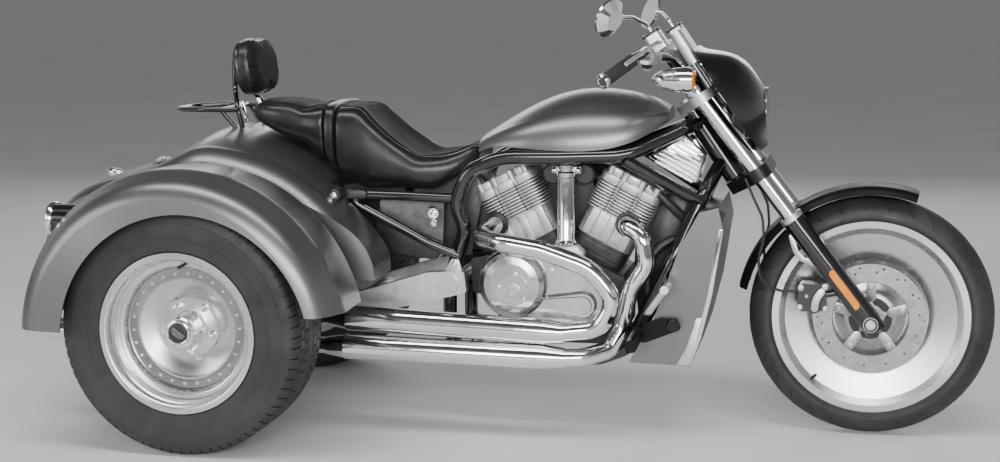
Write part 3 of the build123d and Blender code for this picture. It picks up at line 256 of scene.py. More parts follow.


# the riveted flange is painted darker than the dish and the lip: painted shade round the rivets
rearWheelGreysAndFlangeShade = [
    (0.0, (0.62, 0.62, 0.63)), (0.129, (0.62, 0.62, 0.63)), (0.1315, (0.3, 0.3, 0.305)),
    (0.156, (0.3, 0.3, 0.305)), (0.159, (0.6, 0.6, 0.61)), (0.2, (0.66, 0.66, 0.67)),
]
frontWheelGreys = [(0.0, (0.5, 0.5, 0.51)), (0.2, (0.62, 0.62, 0.63))]
finishes = {
    "paint": paintFinish(),
    "black": glossBlackFinish("glossBlackPaint", 0.8, 0.5),
    "fenderBlack": glossBlackFinish("fenderPaint", 0.0, 0.1, 0.3),
    "chrome": grained(
        "chromePlate", (0.86, 0.865, 0.88), 1.0, 0.07,
        ((7, 3), (0.3, (0.78, 0.78, 0.8)), (0.7, (0.88, 0.885, 0.9))),
        ((22, 6, 0.6), (0.35, 0.05), (0.72, 0.15)), ((60, 2), 0.03, 0.0004),
    ),
    "polished": grained(
        "polishedAlloy", (0.56, 0.56, 0.57), 1.0, 0.2,
        ((12, 4), (0.3, (0.46, 0.46, 0.47)), (0.7, (0.6, 0.6, 0.61))),
        ((40, 6, 0.6), (0.3, 0.14), (0.75, 0.3)), ((500, 2), 0.04, 0.0003),
    ),
    "tyre": grained(
        "tyreRubber", (0.012, 0.012, 0.013), 0.0, 0.6,
        ((9, 7, 0.62), (0.32, (0.014, 0.014, 0.0145)), (0.7, (0.032, 0.032, 0.0325))),
        ((26, 4), (0.3, 0.5), (0.7, 0.72)), ((700, 3), 0.15, 0.0004),
    ),
    "frontWheel": spunWheelFinish("spunFrontWheel", frontHub, frontWheelGreys),
    # the rear rims' greys hold a band of painted shade on the riveted flange
    "rightWheel": spunWheelFinish("spunRightWheel", rearHubs["right"], rearWheelGreysAndFlangeShade),
    "leftWheel": spunWheelFinish("spunLeftWheel", rearHubs["left"], rearWheelGreysAndFlangeShade),
    "silver": castFinish("silverCasting", (0.4, 0.4, 0.41), (0.62, 0.62, 0.63), 0.8, 0.42),
    "satin": castFinish("satinAlloy", (0.5, 0.5, 0.51), (0.68, 0.68, 0.69), 0.9, 0.36),
    "darkMetal": castFinish("darkCasting", (0.03, 0.03, 0.032), (0.07, 0.07, 0.074), 0.6, 0.5),
    "discSteel": castFinish("discSteel", (0.3, 0.295, 0.285), (0.42, 0.415, 0.4), 0.9, 0.36),
    "greyMetal": castFinish("greyCasting", (0.09, 0.09, 0.094), (0.16, 0.16, 0.165), 0.7, 0.44),
    "twoTone": splitFinish("footCasting", (0.012, 0.012, 0.013), (0.62, 0.62, 0.63), (0, 0, 0), (0, 0, 0), 0.345),
    "clamp": splitFinish(
        "clampCasting", (0.03, 0.03, 0.032), (0.6, 0.6, 0.61), steerPoint, (0, -radians(34), 0), 0.12,
    ),
    "leather": leatherFinish("glossVinyl", (0.006, 0.006, 0.0065), (0.01, 0.01, 0.011), 0.32, 0.22, 0.4),
    "mattLeather": leatherFinish("mattVinyl", (0.004, 0.004, 0.0042), (0.007, 0.007, 0.0075), 0.7, 0.0, 0.22),
    "rubber": plasticFinish("blackRubber", (0.015, 0.015, 0.016), 0.66, 900),
    "plastic": plasticFinish("blackPlastic", (0.012, 0.012, 0.013), 0.42),
    "redLens": lensFinish("redLens", (0.05, 0.0015, 0.0015), 0.2),
    "amberLens": plasticFinish("amberLens", (0.8, 0.2, 0.0), 0.4),
    "clearLens": lensFinish("clearLens", (0.3, 0.31, 0.32), 0.8),
}

nodeFinishes = {
    "paint": "rear_body rear_fenders tank_cover radiator_shroud trunk_lid",
    "black": "main_frame luggage_rack tail_lamps fork_sliders front_calipers headlight_fairing handlebar",
    "fenderBlack": "front_fender",
    "chrome": "water_pipe intake_covers upper_exhaust lower_exhaust fork_tubes mirrors turn_signals",
    "silver": "rear_cylinder front_cylinder",
    "greyMetal": "side_covers",
    "twoTone": "foot_controls",
    "clamp": "triple_clamps",
    "satin": "swingarm belt_pulleys instrument_cluster front_axle bar_controls front_brake_discs",
    "polished": "engine_covers",
    "darkMetal": "rear_axle engine_crankcase",
    "rubber": "drive_belt brake_lines grips",
    "plastic": "radiator",
    "clearLens": "headlamp",
    "leather": "seat backrest_pad",
    "tyre": "front_tyre rear_right_tyre rear_left_tyre",
    "frontWheel": "front_rim",
    "rightWheel": "rear_right_rim",
    "leftWheel": "rear_left_rim",
}


def wear(piece, *names):
    piece.data.materials.clear()
    for name in names:
        piece.data.materials.append(finishes[name].material)


def dressNodes():
    for finish, names in nodeFinishes.items():
        for name in names.split():
            wear(nodes[name], finish)
    print("nodes dressed", len(nodes))


# modelling helpers
def turnMode(mode):
    bpy.ops.object.mode_set(mode=mode)


def pick(*pieces):
    if bpy.context.object and bpy.context.object.mode != "OBJECT":
        turnMode("OBJECT")
    bpy.ops.object.select_all(action="DESELECT")
    for piece in pieces:
        piece.select_set(True)
        bpy.context.view_layer.objects.active = piece


def linked(name, data):
    piece = bpy.data.objects.new(name, data)
    bpy.context.scene.collection.objects.link(piece)
    pick(piece)
    return piece


def settle(piece, matrix=None):
    pick(piece)
    if matrix:
        piece.matrix_world = matrix @ piece.matrix_world
    bpy.ops.object.transform_apply(location=True, rotation=True, scale=True)
    return piece


def modify(piece, kind, **settings):
    pick(piece)
    modifier = piece.modifiers.new(kind, kind)
    for key, value in settings.items():
        setattr(modifier, key, value)
    bpy.ops.object.modifier_apply(modifier=modifier.name)


def bevelled(piece, width, angle=40):
    modify(piece, "BEVEL", width=width / 1000, segments=2, limit_method="ANGLE", angle_limit=radians(angle))


def drawLine(points):
    # stays in edit mode with the line selected
    pick()
    bpy.ops.mesh.primitive_plane_add(size=0.001, location=points[0])
    turnMode("EDIT")
    bpy.ops.mesh.select_mode(type="VERT")
    bpy.ops.mesh.select_all(action="SELECT")
    bpy.ops.mesh.merge(type="CENTER")
    for start, end in zip(points, points[1:]):
        bpy.ops.mesh.extrude_vertices_move(TRANSFORM_OT_translate={"value": end - start})
    bpy.ops.mesh.select_all(action="SELECT")
    return bpy.context.object


def weldAll(threshold):
    turnMode("EDIT")
    bpy.ops.mesh.select_all(action="SELECT")
    bpy.ops.mesh.remove_doubles(threshold=threshold)


def tidyShell():
    weldAll(1e-5)
    bpy.ops.mesh.normals_make_consistent(inside=False)
    turnMode("OBJECT")


def spin(steps, angle, repeat=False):
    bpy.ops.mesh.spin(steps=steps, angle=angle, center=(0, 0, 0), axis=(0, 1, 0), dupli=repeat)


def lathe(outline, steps, place=None):
    # (along, radius) pairs, turned about +Y
    piece = drawLine([mm(0, along, radius) for along, radius in outline])
    spin(steps, 2 * pi)
    tidyShell()
    return settle(piece, place)


def plate(points, depth, bevel=0.0):
    # a flat outline pushed along the depth vector
    piece = drawLine(points)
    bpy.ops.mesh.edge_face_add()
    bpy.ops.mesh.extrude_region_move(TRANSFORM_OT_translate={"value": depth})
    tidyShell()
    if bevel:
        bevelled(piece, bevel)
    return settle(piece)


def wire(points, radius, sides=4):
    # a round wire on a smooth line through the control points
    curve = bpy.data.curves.new("wire", "CURVE")
    curve.dimensions = "3D"
    curve.bevel_depth = radius / 1000
    curve.bevel_resolution = sides
    curve.resolution_u = 8
    curve.use_fill_caps = True
    spline = curve.splines.new("NURBS")
    spline.points.add(len(points) - 1)
    for point, place in zip(spline.points, points):
        point.co = (*place, 1)
    spline.order_u = 3
    spline.use_endpoint_u = True
    linked("wire", curve)
    bpy.ops.object.convert(target="MESH")
    return bpy.context.object


def joined(pieces):
    pick(*pieces)
    if len(pieces) > 1:
        bpy.ops.object.join()
    return bpy.context.object


def scattered(outline, steps, places):
    # one turned shape copied to each (direction, place), then joined
    first = lathe(outline, steps)
    twins = [settle(linked("twin", first.data.copy()), facing(*where)) for where in places]
    bpy.data.objects.remove(first)
    return joined(twins)


def register(piece, name, finish, body, smooth=34, replaced=()):
    piece.name = name
    piece.data.name = name
    pick(piece)
    bpy.ops.object.shade_smooth_by_angle(angle=radians(smooth))
    if finish:
        wear(piece, finish)
    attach(piece, body)
    if replaced:
        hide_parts(*replaced)


# soft goods: a face counts as the top of a cover from this much upwards
onTopNormal = 0.12


def smoothThrough(points, steps):
    # a Catmull-Rom line through the points, with so many steps between each pair
    points = np.array(points, dtype=float)
    padded = np.vstack([2 * points[0] - points[1], points, 2 * points[-1] - points[-2]])
    line = []
    for i in range(len(points) - 1):
        a, b, c, d = padded[i:i + 4]
        for t in np.linspace(0, 1, steps, endpoint=False):
            line.append(0.5 * (
                2 * b + (c - a) * t + (2 * a - 5 * b + 4 * c - d) * t ** 2 + (3 * b - a - 3 * c + d) * t ** 3
            ))
    line.append(points[-1])
    return np.array(line)


def ringForm(name, rings):
    count = len(rings[0])
    faces = [
        (start + j, start + (j + 1) % count, start + count + (j + 1) % count, start + count + j)
        for start in range(0, (len(rings) - 1) * count, count) for j in range(count)
    ]
    faces += [tuple(range(count)), tuple((len(rings) - 1) * count + j for j in range(count))]
    mesh = bpy.data.meshes.new(name)
    mesh.from_pydata([tuple(v) for ring in rings for v in ring], [], faces)
    piece = linked(name, mesh)
    tidyShell()
    return piece


def cornersOf(piece):
    corners = np.empty(len(piece.data.vertices) * 3)
    piece.data.vertices.foreach_get("co", corners)
    return corners.reshape(-1, 3)


def swell(piece, cushion):
    # fills a cover with foam: remeshed, blown up as cloth under pressure, and held to the cap
    modify(piece, "REMESH", mode="VOXEL", voxel_size=cushion["voxel"] / 1000)
    modify(piece, "SMOOTH", factor=0.5, iterations=4)
    before = cornersOf(piece)
    cloth = piece.modifiers.new("Cloth", "CLOTH").settings
    cloth.quality = 5
    cloth.use_pressure = True
    cloth.uniform_pressure_force = cushion["pressure"]
    cloth.effector_weights.gravity = 0
    for step in range(1, 21):
        bpy.context.scene.frame_set(step)
    pick(piece)
    bpy.ops.object.modifier_apply(modifier="Cloth")
    bpy.context.scene.frame_set(1)
    move = cornersOf(piece) - before
    reach = np.maximum(np.linalg.norm(move, axis=1, keepdims=True), 1e-9)
    held = before + move * np.minimum(1, cushion["cap"] / 1000 / reach)
    piece.data.vertices.foreach_set("co", held.ravel())
    piece.data.update()
    modify(piece, "SUBSURF", levels=1, render_levels=1)


def dip(piece, awayOf, depth):
    # draws the cover in: most where awayOf a vertex is 0, on the seam, and not from 1 on
    for vertex in piece.data.vertices:
        away = awayOf(vertex)
        if away < 1:
            vertex.co -= vertex.normal * depth / 1000 * (1 - away ** 2) ** 2


def sinkSeam(piece, line, width, depth):
    # a channel along a sewn line, followed from above
    tree = KDTree(len(line))
    for index, point in enumerate(line):
        tree.insert((point.x, point.y, 0), index)
    tree.balance()

    def away(vertex):
        if vertex.normal.z < onTopNormal:
            return 1
        return tree.find((vertex.co.x, vertex.co.y, 0))[2] * 1000 / width

    dip(piece, away, depth)


# saddle: a rider's bucket, a strap and a passenger pad, sewn from gloss sides and matt tops
seatCover = {
    "voxel": 6, "pressure": 4, "cap": 4, "seamWidth": 7, "seamDepth": 2.6, "steps": 5,
    "seamSteps": 24, "seamShort": 6, "endInset": 12, "endShort": 8, "endPoints": 60,
    # ahead of the engine mount, top, seam height, seam half width, widest half width and its height,
    # base half width, base height
    "rider": [
        (-398, 871, 866, 98, 149, 800, 116, 692), (-375, 868, 866, 98, 150, 797, 116, 674),
        (-345, 857, 864, 100, 154, 780, 124, 657), (-322, 834, 850, 108, 158, 762, 130, 648),
        (-300, 809, 828, 114, 161, 744, 132, 647), (-255, 768, 788, 122, 163, 722, 134, 647),
        (-212, 740, 757, 125, 163, 708, 134, 647), (-170, 720, 732, 122, 162, 700, 134, 647),
        (-124, 723, 733, 114, 156, 702, 130, 648), (-84, 734, 741, 103, 145, 708, 120, 668),
        (-55, 750, 752, 92, 131, 718, 108, 686), (-30, 766, 764, 80, 112, 734, 94, 706),
        (-9, 770, 766, 64, 92, 744, 76, 722),
    ],
    "pillion": [
        (-655, 862, 856, 66, 94, 846, 82, 832), (-645, 870, 863, 78, 106, 848, 88, 822),
        (-618, 875, 868, 94, 121, 846, 96, 808), (-575, 874, 868, 105, 131, 840, 104, 789),
        (-530, 870, 865, 108, 134, 832, 106, 773), (-497, 860, 856, 106, 137, 826, 108, 761),
        (-466, 865, 860, 104, 141, 820, 110, 742), (-431, 870, 865, 104, 145, 808, 112, 718),
    ],
    # place along the seat and swelling of each ring
    "strap": ((-429, -2), (-426, 4), (-405, 4), (-402, -2)),
}


def seatRing(station, swelling=0.0):
    x, top, seamZ, seam, wide, wideZ, base, baseZ = station
    line = smoothThrough([
        (0, baseZ), (base * 0.6, baseZ), (base, baseZ + 3), (wide - 5, baseZ + (wideZ - baseZ) * 0.4),
        (wide, wideZ), (wide - (wide - seam) * 0.3, wideZ + (seamZ - wideZ) * 0.74), (seam, seamZ),
        (seam * 0.55, top + (seamZ - top) * 0.3), (0, top),
    ], 5)
    away = line - (0, (top + baseZ) / 2)
    line += away / np.linalg.norm(away, axis=1, keepdims=True) * swelling
    return [engAt(x, y, z) for y, z in line] + [engAt(x, -y, z) for y, z in line[-2:0:-1]]


def sewnPart(name, stations, closedEnd):
    # the matt top is sewn on along both sides and across the end away from the strap
    s = seatCover
    part = ringForm(name, [seatRing(station) for station in smoothThrough(stations, s["steps"])])
    swell(part, s)
    seam = smoothThrough([(station[0], station[3], station[2]) for station in stations], s["seamSteps"])
    low, high = seam[0][0], seam[-1][0]
    short = s["seamShort"]
    line = [engAt(x, side * y, z) for side in sides for x, y, z in seam if low + short < x < high - short]
    if closedEnd:
        high = end = high - s["endInset"]
    else:
        low = end = low + s["endInset"]
    half = seam[closedEnd][1] - s["endShort"]
    line += [engAt(end, y, 0) for y in np.linspace(-half, half, s["endPoints"])]
    sinkSeam(part, line, s["seamWidth"], s["seamDepth"])
    wear(part, "leather", "mattLeather")
    for face in part.data.polygons:
        x = (face.center.x - engineX) * 1000
        inside = low < x < high and abs(face.center.y) * 1000 < np.interp(x, seam[:, 0], seam[:, 1])
        face.material_index = int(inside and face.normal.z > onTopNormal)
    register(part, name, None, "chassis", 80, ["seat"])


def buildSeat():
    sewnPart("riderSeat", seatCover["rider"], -1)
    sewnPart("passengerSeat", seatCover["pillion"], 0)
    stations = np.array(seatCover["pillion"][-2:] + seatCover["rider"][:2], dtype=float)
    strap = ringForm("seatStrap", [
        seatRing([x] + [np.interp(x, stations[:, 0], stations[:, k]) for k in range(1, 8)], swelling)
        for x, swelling in seatCover["strap"]
    ])
    bevelled(strap, 1.5, 30)
    register(strap, "seatStrap", "leather", "chassis", 40, ["seat"])
    print("seat sewn")


backrest = {
    "voxel": 5, "pressure": 4, "cap": 5, "shrink": 0.955,
    # the channels' places ahead of the middle, and how square to the front the welt may face
    "seams": (0.017, -0.012), "seamWidth": 5, "seamDepth": 2.4, "square": 0.8,
}


def buildBackrest():
    middle = sum(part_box("backrest_pad"), Vector()) / 2
    copy = linked("backrestCushion", nodes["backrest_pad"].data.copy())
    weldAll(1e-6)
    turnMode("OBJECT")
    front = max(copy.data.polygons, key=lambda f: f.area * (f.normal.x > 0.5)).normal.copy()
    shrink = Matrix.Scale(backrest["shrink"], 4)
    settle(copy, Matrix.Translation(middle) @ shrink @ Matrix.Translation(-middle))
    swell(copy, backrest)

    def away(vertex):
        if abs(vertex.normal.dot(front)) >= backrest["square"]:
            return 1
        ahead = (vertex.co - middle).dot(front)
        return min(abs(ahead - seam) for seam in backrest["seams"]) * 1000 / backrest["seamWidth"]

    dip(copy, away, backrest["seamDepth"])
    wear(copy, "leather", "mattLeather")
    for face in copy.data.polygons:
        face.material_index = int((face.center - middle).dot(front) > backrest["seams"][0])
    register(copy, "backrestCushion", None, "chassis", 80, ["backrest_pad"])
    print("backrest filled")


# tyres: one pitch of the tread is turned up, its slots cut, and the pitch repeated
rearTyre = {
    "pitches": 72, "turns": (1.7, 0.7, 1.9, 0.7), "slotDepth": 5,
    "slots": ((20, 44, 1), (50, 74, 3), (79.5, 104, 1)), "slotAbove": 306, "lean": 0.02,
    "outline": [
        (0, 322), (14, 322), (15, 316), (19, 316), (20, 322), (44, 321.8), (45, 316), (49, 316),
        (50, 321.7), (74, 321.5), (75, 316), (78, 316), (79.5, 321.3), (90, 318.5), (100.5, 312.5),
        (106, 304), (110.2, 290), (111, 284), (112, 283.5), (112.2, 279), (111.6, 278.5), (112.2, 262),
        (111.6, 246), (112.3, 245.5), (112, 241), (111, 240.5), (110, 226), (109.5, 212), (106, 209),
        (103.5, 208.5), (100.5, 196), (91.5, 190.5), (80.5, 190.5), (96.5, 236), (98.5, 262),
        (94.5, 292), (80.5, 307), (0, 309),
    ],
}
frontTyre = {
    "pitches": 30, "turns": (4.4, 0.9, 6.7), "slotDepth": 4,
    "slots": ((9, 54, 1),), "slotAbove": 283, "lean": 0.26,
    "outline": [
        (0, 318), (4, 317.9), (10, 317.2), (20, 314.6), (28, 311.5), (38, 304.5), (47, 295.5), (54, 285),
        (58.6, 276), (59.5, 270), (59, 267), (57.6, 266.5), (57.4, 264), (55, 261.5), (50, 257),
        (46, 256.4), (39.5, 256.4), (37.5, 244.5), (30.5, 239.5), (27, 247.5), (48, 270), (40, 289),
        (24, 302), (0, 307),
    ],
}


def buildTyre(name, tyre, place, body, node):
    piece = drawLine([mm(0, y, r) for y, r in tyre["outline"]])
    starts, angle = [], 0
    for turn in tyre["turns"]:
        spin(1, radians(turn))
        starts.append((angle, angle + turn))
        angle += turn
    weldAll(1e-6)

    def inSlot(centre):
        around = abs(degrees(atan2(centre.x, centre.z)))
        return centre.xz.length * 1000 > tyre["slotAbove"] and any(
            low < centre.y * 1000 < high and starts[k][0] < around < starts[k][1]
            for low, high, k in tyre["slots"]
        )

    bpy.ops.mesh.select_mode(type="FACE")
    bpy.ops.mesh.select_all(action="DESELECT")
    turnMode("OBJECT")
    for face in piece.data.polygons:
        face.select = inSlot(face.center + piece.location)
    turnMode("EDIT")
    bpy.ops.mesh.extrude_region_shrink_fatten(TRANSFORM_OT_shrink_fatten={"value": -tyre["slotDepth"] / 1000})
    turnMode("OBJECT")
    settle(piece)
    for vertex in piece.data.vertices:
        vertex.co = Matrix.Rotation(tyre["lean"] * vertex.co.y / 0.06, 3, "Y") @ vertex.co
    turnMode("EDIT")
    bpy.ops.mesh.select_all(action="SELECT")
    repeats = tyre["pitches"] - 1
    spin(repeats, 2 * pi * repeats / tyre["pitches"], repeat=True)
    tidyShell()
    modify(piece, "MIRROR", use_axis=(False, True, False), use_clip=True, merge_threshold=0.0001)
    tidyShell()
    settle(piece, Matrix.Translation(place))
    register(piece, name, "tyre", body, 30, [node])


def buildTyres():
    buildTyre("frontTyre", frontTyre, frontHub, "front_wheel", "front_tyre")
    for side in ("right", "left"):
        buildTyre(f"{side}RearTyre", rearTyre, rearHubs[side], f"rear_{side}_wheel", f"rear_{side}_tyre")
    print("tyres turned")


# small shapes shared by the pieces below
def button(radius, height):
    # a round bolt head with a socket
    return [
        (-2, 0), (-2, radius), (height * 0.55, radius), (height * 0.9, radius * 0.8), (height, radius * 0.6),
        (height, radius * 0.42), (height * 0.4, radius * 0.4), (height * 0.4, 0),
    ]


def dome(radius, height):
    return [(-2, 0), (-2, radius)] + [
        (height * sin(t), radius * cos(t)) for t in (0.2, 0.5, 0.8, 1.1, 1.35)
    ] + [(height, 0)]


def ring(inner, outer, height, edge=1.0):
    return [
        (0, inner), (0, outer), (height - edge, outer), (height, outer - edge), (height, inner + edge),
        (height - edge, inner), (0, inner),
    ]


def strapOutline(line, half, steps=5):
    # the flat outline of a bar with round ends, along 2-D points
    line = [Vector(point) for point in line]
    left, right = [], []
    for i, point in enumerate(line):
        ahead = (line[min(i + 1, len(line) - 1)] - line[max(i - 1, 0)]).normalized()
        across = Vector((-ahead.y, ahead.x)) * half
        left.append(point + across)
        right.append(point - across)

    def cap(centre, start):
        turns = [pi * k / (steps + 1) for k in range(1, steps + 1)]
        return [centre + Matrix.Rotation(-turn, 2) @ (start - centre) for turn in turns]

    return left + cap(line[-1], left[-1]) + right[::-1] + cap(line[0], right[0])


# shapes told for the left side, made on either: the side, -1 or 1, turns the middle coordinate
def turned(at, outline, steps, place, towards=(0, 1, 0)):
    def make(side):
        flip = Vector((1, side, 1))
        return lathe(outline, steps, facing(flip * Vector(towards), at(*flip * Vector(place))))
    return make


def sided(at, outline, base, thick, bevel=0.0):
    # an outline of 2-D points raised outwards from a plane beside the middle
    return lambda side: plate([at(x, side * base, z) for x, z in outline], mm(0, side * thick, 0), bevel)


def piped(at, points, radius):
    return lambda side: wire([at(x, side * y, z) for x, y, z in points], radius)


upwards, backwards = (0, 0, 1), (-1, 0, 0)


def fit(fittings, body="chassis", on=sides):
    # each piece: finish, smoothing angle and shapes, made on each side and joined
    for name, (finish, smooth, *shapes) in fittings.items():
        made = joined([shape(side) for side in on for shape in shapes])
        register(made, name, finish, body, smooth)


# rear wheels: spun deep-dish rims with a riveted flange, sunk lug nuts and a long hub cap
rearRim = {
    "outline": [
        (110, 207.5), (102, 207.5), (99, 195.5), (90, 189.5), (-90, 189.5), (-99, 195.5), (-102, 207.5),
        (-110, 207.5), (-110, 184.5), (22, 181.5), (22, 172), (28, 140), (10, 96), (-2, 84), (0, 60),
        (8, 54), (8, 22.1), (14, 22.1), (14, 34), (12, 76), (14, 80), (18, 84), (33, 122), (37, 129),
        (40, 130), (41, 133), (41, 156), (43, 159), (52, 161), (58, 163), (62, 166), (64, 170), (64, 178),
        (66, 181), (86, 182.5), (90, 186), (104, 188), (107, 191), (109, 192), (110.5, 195), (110, 207.5),
    ],
    "barrel": [
        (13, 22.1), (13, 45), (22, 45), (26, 41), (88, 39), (91, 36), (91, 33), (94, 32), (96.5, 31),
        (97.5, 28.5), (97, 26.5), (95, 26), (95, 0), (60, 0), (60, 22.1), (13, 22.1),
    ],
    "capFace": [(94.8, 0), (94.8, 25.6), (96.2, 25.6), (97.6, 22), (98.4, 14), (98.6, 0)],
    "rivets": 26, "rivetRing": 144.5, "rivetBase": 41, "rivet": [(-1, 0), (-1, 5.6), (1.6, 5.4), (3.4, 4), (4.2, 0)],
    "lugs": 5, "lugRing": 62, "lugBase": 12.5,
    "lug": [(-1, 0), (-1, 12), (2, 12), (3, 9.6), (14, 9.4), (19, 8), (23, 5), (25, 0)],
    "capStripes": (-9, -3, 3), "stripeLean": -0.62, "stripeReach": 21,
    "stem": [(-6, 0), (-6, 6), (0, 6), (3, 4.2), (22, 3.8), (24, 4.4), (34, 4.4), (36, 3), (36, 0)],
}


def buildRearRim(side, s):
    hub, node, place = rearHubs[side], [f"rear_{side}_rim"], facing((0, s, 0), rearHubs[side])

    def at(x, y, z):
        return hub + mm(x, y, z)

    def add(piece, name, finish, slot="polished_alloy", smooth=30, replaced=()):
        register(piece, side + name, finish, f"rear_{side}_wheel", smooth, replaced)

    def around(kind, steps, first):
        count, radius, out = rearRim[kind + "s"], rearRim[kind + "Ring"], s * rearRim[kind + "Base"]
        turns = [first + 2 * pi * k / count for k in range(count)]
        places = [((0, s, 0), at(radius * cos(t), out, radius * sin(t))) for t in turns]
        return scattered(rearRim[kind], steps, places)

    add(lathe(rearRim["outline"], 96, place), "WheelDish", side + "Wheel", smooth=24, replaced=node)
    add(lathe(rearRim["barrel"], 64, place), "HubBarrel", "chrome", replaced=node)
    add(lathe(rearRim["capFace"], 48, place), "CapFace", "plastic", "black_plastic")
    add(around("rivet", 10, 0.05), "RimRivets", "chrome", smooth=40)
    lugs = around("lug", 6, -pi / 2)
    bevelled(lugs, 0.8)
    add(lugs, "LugNuts", "chrome")
    stripes = []
    for offset in rearRim["capStripes"]:
        reach = rearRim["stripeReach"] - abs(offset)
        line = [Matrix.Rotation(rearRim["stripeLean"], 2) @ Vector((end * reach, offset)) for end in sides]
        stripes.append(sided(at, strapOutline(line, 0.8, 3), 97.2, 1.5)(s))
    add(joined(stripes), "CapStripes", "satin", "satin_alloy")
    stem = turned(at, rearRim["stem"], 14, (14, 58, 174), (-0.25, 0.9, -0.2))(s)
    add(stem, "ValveStem", "rubber", "rubber", 40)


# front end: slider collars and reflectors, caliper plates, axle caps, the hose bracket
kidney = [(-127, 74), (-137, 60), (-142, 46), (-144, 30)]
forkFittings = {
    "sliderCollars": ("satin", 34, turned(legAt, [
        (0, 29.1), (0, 31.5), (12, 31.5), (15, 29), (15, 22.2), (11, 22.2), (11, 29.1), (0, 29.1),
    ], 40, (333, 105, 0), legUp)),
    "forkReflectors": ("amberLens", 20, sided(
        legAt, [(52, -9), (52, 3.6), (60, 9), (172, 9), (172, -3.6), (164, -9)], 132, 4.4, 1)),
    "reflectorBezels": ("plastic", 20, sided(
        legAt, [(49, -11.4), (49, 4.5), (59, 11.4), (175, 11.4), (175, -4.5), (165, -11.4)], 130, 4.6, 0.6)),
    "caliperPlates": ("satin", 30, sided(wheelAt, strapOutline(kidney, 9.5), 98, 3.2, 1)),
    "caliperGaskets": ("rubber", 30, sided(wheelAt, strapOutline(kidney, 13.5), 97, 2.4, 0.8)),
    "caliperBolts": ("satin", 30, *[turned(wheelAt, button(radius, 6), 20, (x, 98, z)) for x, z, radius in (
        (-180, 84, 9), (-118, 88, 9), (-116, 30, 8), (-182, 32, 8), (-165, 62, 5))]),
    "axleRings": ("plastic", 30, turned(wheelAt, ring(12.6, 17.6, 2.4), 40, (0, 145.8, 0))),
    "axleCaps": ("chrome", 30, turned(wheelAt, [
        (-2, 0), (-2, 12), (3.4, 12), (4.6, 10.5), (4.6, 8), (3.4, 7), (3.4, 0),
    ], 6, (0, 145.8, 0))),
    "hoseBrackets": ("satin", 30, sided(
        legAt, strapOutline([(212, -27), (236, -42), (262, -44), (300, -30)], 7), 92, 16, 2)),
}
valveStem = turned(
    wheelAt, [(0, 0), (0, 5), (5, 4.4), (26, 4), (30, 3), (30, 0)], 14, (-151, 36, -176), (0.5, 0.6, 0.62))


def polar(radius, turn, out):
    return radius * cos(turn), out, radius * sin(turn)


def flatPolar(radii, turns, half):
    return strapOutline([polar(radius, turn, 0)[::2] for radius, turn in zip(radii, turns)], half)


# front discs: drilled rings on five arms with a button on each, and thin black sheets of painted shade on the floors
# of the hub's pockets between the arms
armTurns = [radians(18 + 72 * k) for k in range(5)]
discShapes = [
    turned(wheelAt, [(42.3, 21), (42.3, 64), (45, 67), (47.3, 62), (47.3, 21), (42.3, 21)], 64, (0, 0, 0)),
    *[sided(wheelAt, flatPolar((58, 80, 99), [turn] * 3, 13), 54, 6, 1) for turn in armTurns],
]
discFace = turned(wheelAt, [(58, 97), (58, 146), (63, 146), (63, 99), (61.5, 97), (58, 97)], 96, (0, 0, 0))
drill = [(-3, 0), (-3, 3.2), (9, 3.2), (9, 0)]
drillings = [polar(radius, first + pi * k / 7, 57) for radius, first in ((136, 0), (125, 0.12)) for k in range(14)]
buttons = [turned(wheelAt, button(8.5, 5), 20, polar(84.8, turn, 60)) for turn in armTurns]
# painted shade: black sheets on the pocket floors stand in for the shade inside the hub's openings
pocketShadeFittings = {"pocketShadeSheets": ("plastic", 30, *[
    sided(wheelAt, flatPolar([46] * 5, [turn + pi / 5 + t for t in (-0.3, -0.15, 0, 0.15, 0.3)], 10.5), 47.4, 0.5)
    for turn in armTurns
])}


def buildFork():
    fit(forkFittings, "steering")
    register(valveStem(-1), "frontValveStem", "rubber", "front_wheel", 40)
    discs = []
    for s in sides:
        face = discFace(s)
        holes = scattered(drill, 10, [((0, s, 0), wheelAt(x, s * y, z)) for x, y, z in drillings])
        modify(face, "BOOLEAN", operation="DIFFERENCE", object=holes, solver="EXACT")
        bpy.data.objects.remove(holes)
        discs += [face] + [shape(s) for shape in discShapes]
    register(joined(discs), "windowedDiscs", "discSteel", "front_wheel", 30, ["front_brake_discs"])
    # the black sheets of painted shade in the hub's pockets
    fit(pocketShadeFittings, "front_wheel")
    knobs = joined([shape(s) for s in sides for shape in buttons])
    register(knobs, "discButtons", "silver", "front_wheel", 30)
    print("fork dressed")


# engine: finned heads with rocker covers on dark barrels, in place of the plain blocks
heads = {
    "crank": (236, 0, 325), "lean": 27, "length": 172, "width": 236, "fins": 9, "finPitch": 8.6,
    "finThick": 4.2, "barrelBase": 150, "jacketBase": 206, "finBase": 282, "coverBase": 358, "top": 403,
    "ribs": (-52, 0, 52), "barrelRings": (160, 172, 184, 196), "bosses": (-66, -24, 24, 66),
    "boss": [(0, 0), (0, 10), (30, 9), (32, 7.5), (32, 5), (27, 5), (27, 0)],
}


def finOutline(length, width, corner=26, notch=(29, 6, 9)):
    # a rounded oblong; the notch is each long side's two grooves: place, half width, depth
    half, reach = length / 2, width / 2
    quarter = []
    if notch:
        at, wide, deep = notch
        quarter = [
            (at - wide, reach), (at - wide * 0.6, reach - deep), (at + wide * 0.6, reach - deep), (at + wide, reach),
        ]
    for k in range(6):
        t = pi / 2 * (1 - k / 5)
        quarter.append((half - corner + corner * cos(t), reach - corner + corner * sin(t)))
    upper = quarter + [(x, -y) for x, y in reversed(quarter)]
    return upper + [(-x, -y) for x, y in upper]


def slab(outline, low, high, bevel=0.0):
    return plate([mm(x, y, low) for x, y in outline], mm(0, 0, high - low), bevel)


